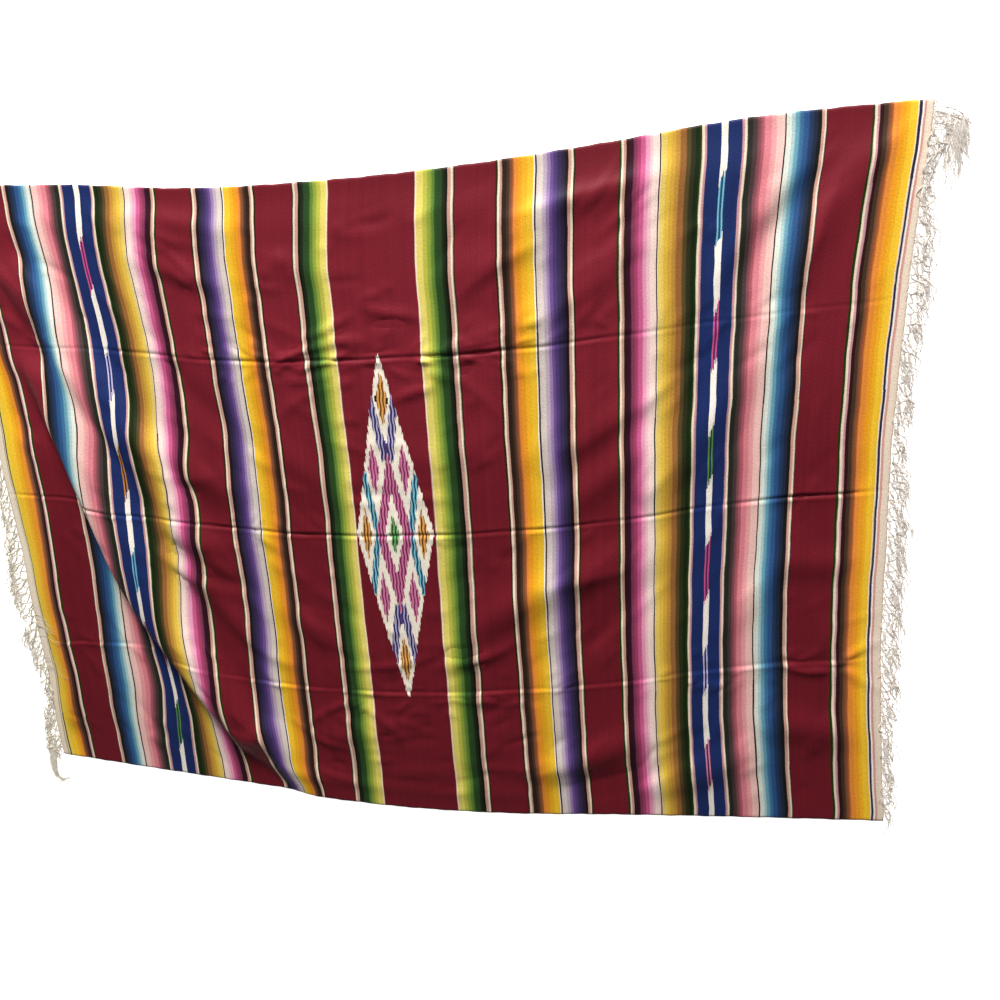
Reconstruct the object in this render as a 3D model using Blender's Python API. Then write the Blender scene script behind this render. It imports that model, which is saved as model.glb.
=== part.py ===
"""Saltillo style serape, laid out on a surface with one long soft fold across it.

One woven panel, about five feet by seven, with the knotted ends of its warp
left as a fringe at both short ends. The panel is one closed wall of cloth:
its underside is flat on the surface wherever no fold lifts it. Each fringe is
a plain flat solid of the fringe's reach, 0.5 mm clear of the woven edge.

Frame: metres, +Z up. +X runs along the warp (the long way of the cloth), +Y
across it, and the origin is under the middle of the whole piece, on the
surface that it lies on.
"""
import bpy
import bmesh
import numpy as np
from collections import namedtuple
from mathutils import Vector

# ---------------------------------------------------------------- sizes (m)
WOVEN_LENGTH = 2.085      # along the warp, without the fringe
WOVEN_WIDTH = 1.490       # along the weft, selvedge to selvedge
WALL = 0.0020             # the cloth's thickness
ROWS = 30                 # mesh rows from selvedge to selvedge
GAP = 0.0005              # between the woven edge and the fringe solid
FRINGE_LOFT = 0.0050      # how high the knotted net lies
MIDDLE_X = 0.0512         # middle of the laid-out piece in the weaving frame
MIDDLE_Y = 0.0086

RIGHT_L = 1.049           # from the middle of the pattern to the right end
LEFT_L = WOVEN_LENGTH - RIGHT_L
HALF_W = WOVEN_WIDTH / 2

# Position on the cloth: u along the warp (-LEFT_L to RIGHT_L), v along the
# weft (HALF_W at the far selvedge, -HALF_W at the near one).

# ---------------------------------------------------------------- folds
# A fold is a soft ridge. Its crest passes through four points (v, u) with the
# heights h there; left and right are the widths of its two flanks, measured
# on the cloth, square to the crest.
Fold = namedtuple("Fold", "name v0 u0 h0 v1 u1 h1 v2 u2 h2 v3 u3 h3 left right")
FOLDS = [
    Fold("main",  .40, -.90, .012,  .12, -.805, .040, -.28, -.668, .038, -.745, -.31, .006, .085, .18),
    Fold("upper", .62, -.92, .012,  .27, -.722, .022,  .06, -.585, .018, -.20, -.44, .006, .09, .09),
    Fold("end",   .22, -.94, .004,  .00, -.955, .014, -.30, -.965, .018, -.70, -.99, .006, .09, .09),
]

# Soft sideways drifts of the laid cloth: middle, half sizes along and across,
# and the shift in millimetres.
Sway = namedtuple("Sway", "u v half_u half_v shift")
SWAYS = [
    Sway(-.86, .60, .15, .15, -7),
    Sway(-.80, .41, .09, .09, -12),
    Sway(-.75, .19, .06, .05, 8),
    Sway(-.57, .22, .05, .06, -10),
    Sway(-.51, .12, .05, .06, -12),
    Sway(-.58, -.24, .07, .10, -14),
    Sway(-.72, -.47, .07, .09, 17),
    Sway(-.66, -.57, .06, .07, 10),
    Sway(-1.03, .20, .10, .20, 22),
    Sway(-1.03, -.14, .06, .20, 20),
    Sway(-1.00, -.45, .08, .15, 11),
    Sway(-.30, -.63, .07, .08, -9),
    Sway(-.37, -.745, .08, .06, 13),
]

# How far the laid cloth is eased sideways, in millimetres, at eleven places
# along the warp and seven heights across it.
EASE_HEIGHTS = (.72, .58, .45, .15, -.15, -.45, -.72)
Ease = namedtuple("Ease", "u top high upper mid lower low bottom")
EASE = [
    Ease(-1.06, 35, 32, 30, 20, 24, 34, 40),
    Ease(-.86, 25, 38, 45, 24, 24, 25, 32),
    Ease(-.66, 30, 24, 40, 32, 30, 38, 43),
    Ease(-.41, 22, 10, 14, 19, 12, 4, 36),
    Ease(-.27, 11, 0, -1, 4, 0, 0, 8),
    Ease(-.10, 9, -6, -8, -4, -4, -4, -5),
    Ease(.10, 4, -5, -6, -6, -5, -5, -1),
    Ease(.27, 8, 2, -1, -1, 1, 3, 14),
    Ease(.66, 9, 4, 2, -2, -5, -3, 15),
    Ease(.86, 22, 12, 3, -3, -7, 1, 24),
    Ease(1.06, 18, 9, 2, -8, -4, 8, 35),
]

# Where the selvedges and the three storage creases lie across the surface (m).
LEVEL_HEIGHTS = (.745, .3725, 0, -.3725, -.745)
Level = namedtuple("Level", "u far_edge far_crease mid_crease near_crease near_edge")
LEVELS = [
    Level(-1.06, .780, .432, .066, -.325, -.660),
    Level(-.90, .772, .420, .060, -.330, -.676),
    Level(-.72, .760, .405, .022, -.340, -.695),
    Level(-.45, .733, .374, -.018, -.415, -.722),
    Level(-.10, .723, .357, -.040, -.442, -.758),
    Level(.18, .728, .358, -.038, -.434, -.760),
    Level(.45, .744, .378, -.012, -.405, -.744),
    Level(.75, .767, .405, .030, -.350, -.728),
    Level(1.06, .770, .432, .055, -.320, -.714),
]

# Reach of each fringe: at height v on the end of the cloth (past -HALF_W for
# the tail that hangs round the corner), from near to far millimetres out.
Reach = namedtuple("Reach", "v near far")
REACH_RIGHT = [
    Reach(.745, 0, 72), Reach(.70, 0, 92), Reach(.64, 0, 88), Reach(.56, 0, 58),
    Reach(.50, 0, 46), Reach(.36, 0, 58), Reach(.22, 0, 48), Reach(.05, 0, 52),
    Reach(-.10, 0, 58), Reach(-.22, 0, 62), Reach(-.38, 0, 56), Reach(-.50, 0, 42),
    Reach(-.64, 0, 32), Reach(-.735, 0, 20),
]
REACH_LEFT = [
    Reach(.745, 0, 50), Reach(.55, 0, 52), Reach(.35, 0, 50), Reach(.15, 0, 46),
    Reach(0, 0, 44), Reach(-.12, 0, 50), Reach(-.24, 0, 56), Reach(-.32, 0, 40),
    Reach(-.42, 0, 48), Reach(-.52, 0, 30), Reach(-.64, 0, 46), Reach(-.745, 0, 52),
    Reach(-.80, 16, 52), Reach(-.85, 24, 46),
]


# ---------------------------------------------------------------- rules
def curve(x, stations, values):
    """Smooth curve through a few stations, held level past its ends."""
    xs = np.asarray(stations, float)
    ys = np.asarray(values, float)
    if xs[0] > xs[-1]:
        xs, ys = xs[::-1], ys[::-1]
    x = np.clip(x, xs[0], xs[-1])
    m = np.gradient(ys, xs)
    i = np.clip(np.searchsorted(xs, x) - 1, 0, len(xs) - 2)
    d = xs[i + 1] - xs[i]
    t = (x - xs[i]) / d
    return ((2 * t**3 - 3 * t**2 + 1) * ys[i] + (t**3 - 2 * t**2 + t) * d * m[i]
            + (3 * t**2 - 2 * t**3) * ys[i + 1] + (t**3 - t**2) * d * m[i + 1])


def chart(u, v, rows, heights):
    """Read a table of rows along u and columns across v, smoothly both ways."""
    us = [r.u for r in rows]
    across = np.array([[float(curve(u, us, [r[1 + j] for r in rows]))] for j in range(len(heights))])
    return float(curve(v, heights, across[:, 0]))


def rise(t):
    """The shape of one flank, 0 at its foot and 1 at the crest."""
    t = min(max(t, 0.0), 1.0)
    return t - np.sin(2 * np.pi * t) / (2 * np.pi)


def take_up(s, width, height, steps=24):
    """Cloth used up by a flank between its foot and the distance s along it."""
    t = min(max(s / width, 0.0), 1.0)
    k = (np.arange(steps) + 0.5) / steps
    slope = np.clip(2 * height / width * np.sin(np.pi * t * k)**2, 0, 0.985)
    return float((1 - np.sqrt(1 - slope**2)).mean() * t * width)


def fold_at(fold, u, v):
    """Height of one fold at (u, v), and the pull that it puts on the cloth."""
    heights = (fold.v0, fold.v1, fold.v2, fold.v3)
    crests = (fold.u0, fold.u1, fold.u2, fold.u3)
    crest = float(curve(v, heights, crests))
    lean = float(curve(v + 1e-3, heights, crests) - curve(v - 1e-3, heights, crests)) / 2e-3
    h = max(float(curve(v, heights, (fold.h0, fold.h1, fold.h2, fold.h3))), 0.0)
    h *= rise((fold.v0 - v) / 0.12)
    if fold.v3 > -HALF_W:
        h *= rise((v - fold.v3) / 0.12)
    h *= rise((RIGHT_L - u if u > 0 else LEFT_L + u) / 0.08)
    nu = 1 / np.sqrt(1 + lean**2)
    nv = -lean * nu
    s = (u - crest) * nu
    right_all = take_up(fold.right, fold.right, h)
    if s >= 0:
        z = h * rise(1 - s / fold.right)
        used = take_up(fold.right - s, fold.right, h)
    else:
        z = h * rise(1 + s / fold.left)
        left_all = take_up(fold.left, fold.left, h)
        used = right_all + left_all - take_up(fold.left + s, fold.left, h)
    return z, used * nu, used * nv


def place(u, v):
    """Where the underside of the cloth lies for the point (u, v) of the weave."""
    z = pull = 0.0
    for fold in FOLDS:
        dz, dx, _ = fold_at(fold, u, v)
        z += dz
        pull += dx
    x = u + pull + 0.001 * chart(u, v, EASE, EASE_HEIGHTS)
    for s in SWAYS:
        x += 0.001 * s.shift * float(np.exp(-((u - s.u) / s.half_u)**2 - ((v - s.v) / s.half_v)**2))
    y = chart(u, v, LEVELS, LEVEL_HEIGHTS)
    return Vector((x - MIDDLE_X, y - MIDDLE_Y, z))


# ---------------------------------------------------------------- pieces
def clear_scene():
    for ob in list(bpy.data.objects):
        bpy.data.objects.remove(ob, do_unlink=True)


def material(name, colour, roughness):
    mat = bpy.data.materials.new(name)
    mat.use_nodes = True
    shader = mat.node_tree.nodes["Principled BSDF"]
    shader.inputs["Base Color"].default_value = (*colour, 1)
    shader.inputs["Roughness"].default_value = roughness
    shader.inputs["Metallic"].default_value = 0.0
    return mat


def finish(name, bm, mat):
    bmesh.ops.recalc_face_normals(bm, faces=bm.faces)
    mesh = bpy.data.meshes.new(name)
    bm.to_mesh(mesh)
    bm.free()
    ob = bpy.data.objects.new(name, mesh)
    ob.data.materials.append(mat)
    bpy.context.scene.collection.objects.link(ob)
    return ob


def columns(v):
    """Warp positions of the mesh's columns at height v: they follow the main fold."""
    main = FOLDS[0]
    crest = float(curve(v, (main.v0, main.v1, main.v2, main.v3), (main.u0, main.u1, main.u2, main.u3)))
    marks = [-LEFT_L, crest - main.left, crest, crest + main.right, crest + main.right + 0.26, RIGHT_L]
    marks[1] = max(marks[1], -LEFT_L + 0.05)
    # the first and last columns are close to the ends, so the ends stay level
    marks = [marks[0], marks[0] + 0.012] + marks[1:-1] + [marks[-1] - 0.012, marks[-1]]
    out = [marks[0]]
    for a, b, n in zip(marks, marks[1:], (1, 8, 6, 6, 8, 22, 1)):
        out += [a + (b - a) * (i + 1) / n for i in range(n)]
    return out


def make_cloth(mat):
    bm = bmesh.new()
    grid = []
    for j in range(ROWS + 1):
        v = HALF_W - WOVEN_WIDTH * j / ROWS
        grid.append([bm.verts.new(place(u, v)) for u in columns(v)])
    for a, b in zip(grid, grid[1:]):
        for i in range(len(a) - 1):
            bm.faces.new((a[i], b[i], b[i + 1], a[i + 1]))
    for face in bm.faces:
        face.smooth = True
    mesh = bpy.data.meshes.new("cloth")
    bm.to_mesh(mesh)
    bm.free()
    ob = bpy.data.objects.new("cloth", mesh)
    ob.data.materials.append(mat)
    bpy.context.scene.collection.objects.link(ob)
    wall = ob.modifiers.new("wall", 'SOLIDIFY')
    wall.thickness = WALL
    wall.offset = 1.0
    wall.use_even_offset = True
    wall.use_rim = True
    return ob


END = {1: RIGHT_L, -1: -LEFT_L}


def end_point(side, v):
    """A point on the woven end; past the corner the end line runs straight on."""
    if abs(v) <= HALF_W:
        return place(END[side], v)
    corner = place(END[side], -HALF_W)
    along = corner - place(END[side], -HALF_W + 0.10)
    return corner + along * ((-v - HALF_W) / 0.10)


def make_fringe(name, side, reach, mat):
    heights = [r.v for r in reach]
    steps = [HALF_W - WOVEN_WIDTH * j / ROWS for j in range(ROWS + 1)]
    steps += [v for v in heights if v < -HALF_W]
    count = len(steps) - 1
    bm = bmesh.new()
    near, far = [], []
    for v in steps:
        edge = end_point(side, v)
        n = max(float(curve(v, heights, [r.near for r in reach])), 0.0) * 0.001 + GAP
        f = float(curve(v, heights, [r.far for r in reach])) * 0.001
        near.append(bm.verts.new((edge.x + side * n, edge.y, 0)))
        far.append(bm.verts.new((edge.x + side * f, edge.y, 0)))
    faces = [bm.faces.new((near[j], near[j + 1], far[j + 1], far[j])) for j in range(count)]
    lifted = bmesh.ops.extrude_face_region(bm, geom=faces)
    tops = [g for g in lifted["geom"] if isinstance(g, bmesh.types.BMVert)]
    bmesh.ops.translate(bm, vec=(0, 0, FRINGE_LOFT), verts=tops)
    return finish(name, bm, mat)


def main():
    clear_scene()
    wool = material("maroon_wool_weave", (0.155, 0.012, 0.024), 0.85)
    cotton = material("natural_cotton_warp", (0.58, 0.53, 0.47), 0.9)
    make_cloth(wool)
    make_fringe("fringe_right", 1, REACH_RIGHT, cotton)
    make_fringe("fringe_left", -1, REACH_LEFT, cotton)


main()
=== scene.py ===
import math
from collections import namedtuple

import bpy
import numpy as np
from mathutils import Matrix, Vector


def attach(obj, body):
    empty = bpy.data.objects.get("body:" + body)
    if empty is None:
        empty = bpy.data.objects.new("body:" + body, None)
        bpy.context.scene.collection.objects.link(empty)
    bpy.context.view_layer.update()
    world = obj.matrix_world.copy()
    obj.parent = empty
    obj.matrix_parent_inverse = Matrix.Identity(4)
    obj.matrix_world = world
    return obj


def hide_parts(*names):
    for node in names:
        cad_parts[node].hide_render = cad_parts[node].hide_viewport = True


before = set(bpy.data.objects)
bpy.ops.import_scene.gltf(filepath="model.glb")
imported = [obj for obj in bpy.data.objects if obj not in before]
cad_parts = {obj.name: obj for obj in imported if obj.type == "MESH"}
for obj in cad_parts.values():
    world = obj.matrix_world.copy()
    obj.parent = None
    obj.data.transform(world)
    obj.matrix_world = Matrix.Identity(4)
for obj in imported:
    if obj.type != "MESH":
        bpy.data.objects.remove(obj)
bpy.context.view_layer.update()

# Looks of a Saltillo style serape, laid out on a plain pale floor.
#
# The frame comes first, then the camera, the woven cloth on the form of its
# solid, the knotted warp fringes, the materials, the floor and the light.
# Metres, +Z up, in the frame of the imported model.

# ================================================================ camera
# A 27 mm lens 1.58 m above the floor, leaning towards the near selvedge and
# turned towards the left end.
cam_data = bpy.data.cameras.new("camera")
cam_data.lens = 27.036
cam_data.sensor_width = 36.0
cam_data.clip_start, cam_data.clip_end = 0.05, 50.0
camera = bpy.data.objects.new("camera", cam_data)
camera.location = (0.4818, 0.4374, 1.580)
camera.rotation_euler = tuple(math.radians(a) for a in (-14.72, 9.60, -2.98))
bpy.context.scene.collection.objects.link(camera)
bpy.context.scene.camera = camera

# ================================================================ form
# The same sizes, tables and rules as the cloth's solid.
WOVEN_LENGTH = 2.085
WOVEN_WIDTH = 1.490
WALL = 0.0020
MIDDLE_X = 0.0512
MIDDLE_Y = 0.0086
RIGHT_L = 1.049
LEFT_L = WOVEN_LENGTH - RIGHT_L
END = {1: RIGHT_L, -1: -LEFT_L}
HALF_W = WOVEN_WIDTH / 2

Fold = namedtuple("Fold", "name v0 u0 h0 v1 u1 h1 v2 u2 h2 v3 u3 h3 left right")
FOLDS = [
    Fold("main",  .40, -.90, .012,  .12, -.805, .040, -.28, -.668, .038, -.745, -.31, .006, .085, .18),
    Fold("upper", .62, -.92, .012,  .27, -.722, .022,  .06, -.585, .018, -.20, -.44, .006, .09, .09),
    Fold("end",   .22, -.94, .004,  .00, -.955, .014, -.30, -.965, .018, -.70, -.99, .006, .09, .09),
]
Sway = namedtuple("Sway", "u v half_u half_v shift")
SWAYS = [
    Sway(-.86, .60, .15, .15, -7),
    Sway(-.80, .41, .09, .09, -12),
    Sway(-.75, .19, .06, .05, 8),
    Sway(-.57, .22, .05, .06, -10),
    Sway(-.51, .12, .05, .06, -12),
    Sway(-.58, -.24, .07, .10, -14),
    Sway(-.72, -.47, .07, .09, 17),
    Sway(-.66, -.57, .06, .07, 10),
    Sway(-1.03, .20, .10, .20, 22),
    Sway(-1.03, -.14, .06, .20, 20),
    Sway(-1.00, -.45, .08, .15, 11),
    Sway(-.30, -.63, .07, .08, -9),
    Sway(-.37, -.745, .08, .06, 13),
]
EASE_HEIGHTS = (.72, .58, .45, .15, -.15, -.45, -.72)
Ease = namedtuple("Ease", "u top high upper mid lower low bottom")
EASE = [
    Ease(-1.06, 35, 32, 30, 20, 24, 34, 40),
    Ease(-.86, 25, 38, 45, 24, 24, 25, 32),
    Ease(-.66, 30, 24, 40, 32, 30, 38, 43),
    Ease(-.41, 22, 10, 14, 19, 12, 4, 36),
    Ease(-.27, 11, 0, -1, 4, 0, 0, 8),
    Ease(-.10, 9, -6, -8, -4, -4, -4, -5),
    Ease(.10, 4, -5, -6, -6, -5, -5, -1),
    Ease(.27, 8, 2, -1, -1, 1, 3, 14),
    Ease(.66, 9, 4, 2, -2, -5, -3, 15),
    Ease(.86, 22, 12, 3, -3, -7, 1, 24),
    Ease(1.06, 18, 9, 2, -8, -4, 8, 35),
]
LEVEL_HEIGHTS = (.745, .3725, 0, -.3725, -.745)
Level = namedtuple("Level", "u far_edge far_crease mid_crease near_crease near_edge")
LEVELS = [
    Level(-1.06, .780, .432, .066, -.325, -.660),
    Level(-.90, .772, .420, .060, -.330, -.676),
    Level(-.72, .760, .405, .022, -.340, -.695),
    Level(-.45, .733, .374, -.018, -.415, -.722),
    Level(-.10, .723, .357, -.040, -.442, -.758),
    Level(.18, .728, .358, -.038, -.434, -.760),
    Level(.45, .744, .378, -.012, -.405, -.744),
    Level(.75, .767, .405, .030, -.350, -.728),
    Level(1.06, .770, .432, .055, -.320, -.714),
]
Reach = namedtuple("Reach", "v near far")
REACH_RIGHT = [
    Reach(.745, 0, 72), Reach(.70, 0, 92), Reach(.64, 0, 88), Reach(.56, 0, 58),
    Reach(.50, 0, 46), Reach(.36, 0, 58), Reach(.22, 0, 48), Reach(.05, 0, 52),
    Reach(-.10, 0, 58), Reach(-.22, 0, 62), Reach(-.38, 0, 56), Reach(-.50, 0, 42),
    Reach(-.64, 0, 32), Reach(-.735, 0, 20),
]
REACH_LEFT = [
    Reach(.745, 0, 50), Reach(.55, 0, 52), Reach(.35, 0, 50), Reach(.15, 0, 46),
    Reach(0, 0, 44), Reach(-.12, 0, 50), Reach(-.24, 0, 56), Reach(-.32, 0, 40),
    Reach(-.42, 0, 48), Reach(-.52, 0, 30), Reach(-.64, 0, 46), Reach(-.745, 0, 52),
    Reach(-.80, 16, 52), Reach(-.85, 24, 46),
]


def curve(x, stations, values):
    """Smooth curve through a few stations, held level past its ends."""
    xs = np.asarray(stations, float)
    ys = np.asarray(values, float)
    if xs[0] > xs[-1]:
        xs, ys = xs[::-1], ys[::-1]
    x = np.clip(x, xs[0], xs[-1])
    m = np.gradient(ys, xs)
    i = np.clip(np.searchsorted(xs, x) - 1, 0, len(xs) - 2)
    d = xs[i + 1] - xs[i]
    t = (x - xs[i]) / d
    return ((2 * t**3 - 3 * t**2 + 1) * ys[i] + (t**3 - 2 * t**2 + t) * d * m[i]
            + (3 * t**2 - 2 * t**3) * ys[i + 1] + (t**3 - t**2) * d * m[i + 1])


def chart(u, v, rows, heights):
    """Read a table of rows along u and columns across v, smoothly both ways."""
    us = [r.u for r in rows]
    hs = np.asarray(heights, float)[::-1]
    cols = np.stack([curve(u, us, [r[1 + j] for r in rows]) for j in range(len(heights))][::-1], -1)
    m = np.gradient(cols, hs, axis=-1)
    x = np.clip(v, hs[0], hs[-1])
    i = np.clip(np.searchsorted(hs, x) - 1, 0, len(hs) - 2)
    d = hs[i + 1] - hs[i]
    t = (x - hs[i]) / d
    at = lambda a, k: np.take_along_axis(a, k[..., None], -1)[..., 0]
    return ((2 * t**3 - 3 * t**2 + 1) * at(cols, i) + (t**3 - 2 * t**2 + t) * d * at(m, i)
            + (3 * t**2 - 2 * t**3) * at(cols, i + 1) + (t**3 - t**2) * d * at(m, i + 1))


def to_end(u):
    """How far it is to the nearer woven end."""
    return np.where(u > 0, RIGHT_L - u, LEFT_L + u)


def rise(t):
    """The shape of one flank, 0 at its foot and 1 at the crest."""
    t = np.clip(t, 0.0, 1.0)
    return t - np.sin(2 * np.pi * t) / (2 * np.pi)


def take_up(s, width, height, steps=24):
    """Cloth used up by a flank between its foot and the distance s along it."""
    t = np.clip(s / width, 0.0, 1.0)
    k = (np.arange(steps) + 0.5) / steps
    slope = np.clip(2 * height[..., None] / width * np.sin(np.pi * t[..., None] * k)**2, 0, 0.985)
    return (1 - np.sqrt(1 - slope**2)).mean(-1) * t * width


def fold_at(fold, u, v):
    """Height of one fold at (u, v), and the pull that it puts on the cloth."""
    heights = (fold.v0, fold.v1, fold.v2, fold.v3)
    crests = (fold.u0, fold.u1, fold.u2, fold.u3)
    crest = curve(v, heights, crests)
    lean = (curve(v + 1e-3, heights, crests) - curve(v - 1e-3, heights, crests)) / 2e-3
    h = np.maximum(curve(v, heights, (fold.h0, fold.h1, fold.h2, fold.h3)), 0.0)
    h = h * rise((fold.v0 - v) / 0.12)
    if fold.v3 > -HALF_W:
        h = h * rise((v - fold.v3) / 0.12)
    h = h * rise(to_end(u) / 0.08)
    nu = 1 / np.sqrt(1 + lean**2)
    s = (u - crest) * nu
    near = s >= 0
    z = h * np.where(near, rise(1 - s / fold.right), rise(1 + s / fold.left))
    whole_right = take_up(np.full_like(s, fold.right), fold.right, h)
    whole_left = take_up(np.full_like(s, fold.left), fold.left, h)
    used = np.where(near, take_up(np.clip(fold.right - s, 0, fold.right), fold.right, h),
                    whole_right + whole_left - take_up(np.clip(fold.left + s, 0, fold.left), fold.left, h))
    return z, used * nu


def base_place(u, v):
    """Where the underside of the plain form lies, as in the cloth's solid."""
    u, v = np.broadcast_arrays(np.asarray(u, float), np.asarray(v, float))
    z, pull = np.zeros(u.shape), np.zeros(u.shape)
    for fold in FOLDS:
        dz, dx = fold_at(fold, u, v)
        z = z + dz
        pull = pull + dx
    x = u + pull + 0.001 * chart(u, v, EASE, EASE_HEIGHTS)
    for s in SWAYS:
        x = x + 0.001 * s.shift * np.exp(-((u - s.u) / s.half_u)**2 - ((v - s.v) / s.half_v)**2)
    y = chart(u, v, LEVELS, LEVEL_HEIGHTS)
    return np.stack([x - MIDDLE_X, y - MIDDLE_Y, z], -1)


# ---------------------------------------------------------------- small form
# Storage creases, deeper and shallower in millimetres at ten places along the
# warp. The far and middle ones are grooves between two soft shoulders; the near
# one is a ridge, steep on its far side.
CREASE_AT = (-1.06, -.85, -.60, -.30, 0, .25, .50, .72, .88, 1.05)
Crease = namedtuple("Crease", "name v kind width d0 d1 d2 d3 d4 d5 d6 d7 d8 d9")
CREASES = [
    Crease("far",  .3725, -1, .0056, 0.5, 0.7, 1.1, 1.4, 2.3, 1.8, 0.9, 0.5, 0.5, 0.4),
    Crease("mid",  .0000, -1, .0054, 1.8, 1.3, 1.7, 1.9, 1.9, 1.6, 1.4, 1.1, 2.5, 1.4),
    Crease("near", -.3725, 1, .0060, 1.6, 1.5, 1.1, 1.9, 2.3, 2.0, 1.5, 1.5, 2.4, 1.3),
]
# Their section: height against the distance from the line, in crease widths
# and in depths, from the near side to the far side.
SECTION_AT = (-8, -5, -2.4, -1.15, 0, 1.2, 2.6, 5, 8)
GROOVE = (0, .12, .42, .62, -.50, .56, .40, .14, 0)
RIDGE = (0, .10, .26, .42, .66, -.42, -.24, -.08, 0)

# Wrinkles, each a soft ridge through three points of the cloth; height and
# width (of one flank) in millimetres, negative heights are troughs.
Wrinkle = namedtuple("Wrinkle", "u0 v0 u1 v1 u2 v2 height width")
WRINKLES = [
    # round the far crease, above and below the tip of the diamond
    Wrinkle(-.18, .415, -.11, .438, -.04, .470, 2.6, 11),
    Wrinkle(-.04, .490, .04, .463, .11, .451, 2.4, 12),
    Wrinkle(-.27, .358, -.15, .398, -.05, .415, 3.0, 10),
    Wrinkle(-.20, .352, -.12, .368, -.05, .395, 2.0, 7),
    Wrinkle(.06, .385, .19, .389, .30, .402, 2.2, 14),
    Wrinkle(.10, .338, .19, .311, .27, .220, 1.8, 12),
    Wrinkle(.03, .288, .09, .307, .15, .325, 1.8, 10),
    Wrinkle(-.28, .225, -.18, .295, -.08, .322, 1.5, 13),
    Wrinkle(-.24, .330, -.16, .330, -.10, .345, 1.6, 9),
    # the far left quarter
    Wrinkle(-.56, .655, -.46, .633, -.35, .615, 1.6, 20),
    Wrinkle(-.54, .575, -.44, .553, -.33, .532, 1.4, 20),
    Wrinkle(-.45, .475, -.38, .470, -.30, .468, 1.2, 14),
    # the far right quarter
    Wrinkle(.24, .622, .39, .650, .57, .678, 3.0, 20),
    Wrinkle(.15, .462, .26, .538, .37, .580, 2.0, 18),
    Wrinkle(.66, .385, .77, .568, .90, .690, 3.0, 26),
    Wrinkle(.855, .405, .87, .507, .905, .640, 1.8, 12),
    Wrinkle(.36, .470, .45, .520, .56, .560, 1.3, 20),
    # between the far and middle creases
    Wrinkle(.26, .110, .39, .214, .53, .318, 1.8, 24),
    Wrinkle(.38, .136, .49, .195, .61, .270, 1.5, 22),
    Wrinkle(-.66, .110, -.655, .048, -.66, -.020, 1.4, 12),
    Wrinkle(-.64, .133, -.55, .102, -.40, .125, 1.7, 16),
    Wrinkle(-.98, .405, -.95, .250, -.95, .016, 3.0, 26),
    # between the middle and near creases
    Wrinkle(-.665, -.020, -.58, -.117, -.38, -.155, 3.0, 20),
    Wrinkle(-.46, -.210, -.36, -.286, -.25, -.312, 2.4, 20),
    Wrinkle(-.18, -.303, -.04, -.299, .09, -.262, 2.4, 10),
    Wrinkle(.05, -.263, .17, -.284, .28, -.230, 1.8, 11),
    Wrinkle(.29, -.130, .43, -.119, .56, -.103, 1.6, 14),
    Wrinkle(.44, -.308, .53, -.216, .63, -.145, 1.8, 22),
    Wrinkle(.955, -.372, .93, -.302, .918, -.230, 1.6, 10),
    # below the near crease
    Wrinkle(-.16, -.398, -.08, -.438, -.02, -.508, 1.8, 11),
    Wrinkle(-.29, -.510, -.22, -.437, -.14, -.396, 1.8, 12),
    Wrinkle(.50, -.690, .62, -.621, .73, -.563, 2.0, 22),
    Wrinkle(.955, -.378, 1.01, -.339, 1.055, -.318, 3.2, 9),
    Wrinkle(.958, -.384, 1.01, -.410, 1.06, -.446, 2.8, 8),
    Wrinkle(.958, -.389, 1.00, -.492, 1.045, -.615, 3.2, 10),
    Wrinkle(.84, -.362, .90, -.388, .96, -.386, 2.4, 10),
    Wrinkle(-.56, -.398, -.51, -.492, -.50, -.650, 3.0, 18),
    Wrinkle(-.43, -.500, -.40, -.579, -.365, -.675, 2.6, 18),
    Wrinkle(.10, -.560, .22, -.600, .36, -.590, 1.2, 22),
    Wrinkle(-.10, -.640, .00, -.610, .10, -.640, 1.2, 22),
]

# Sharp wrinkles that star out from the near crease to the right end, where the
# cloth lies flat but for them.
END_WRINKLES = [
    Wrinkle(.955, -.380, 1.00, -.352, 1.060, -.322, 1.7, 8),
    Wrinkle(.956, -.386, 1.00, -.414, 1.060, -.446, 1.7, 8),
    Wrinkle(.956, -.432, .992, -.520, 1.020, -.600, 1.8, 9),
    Wrinkle(.950, -.288, 1.00, -.274, 1.055, -.256, 1.1, 7),
]

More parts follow.
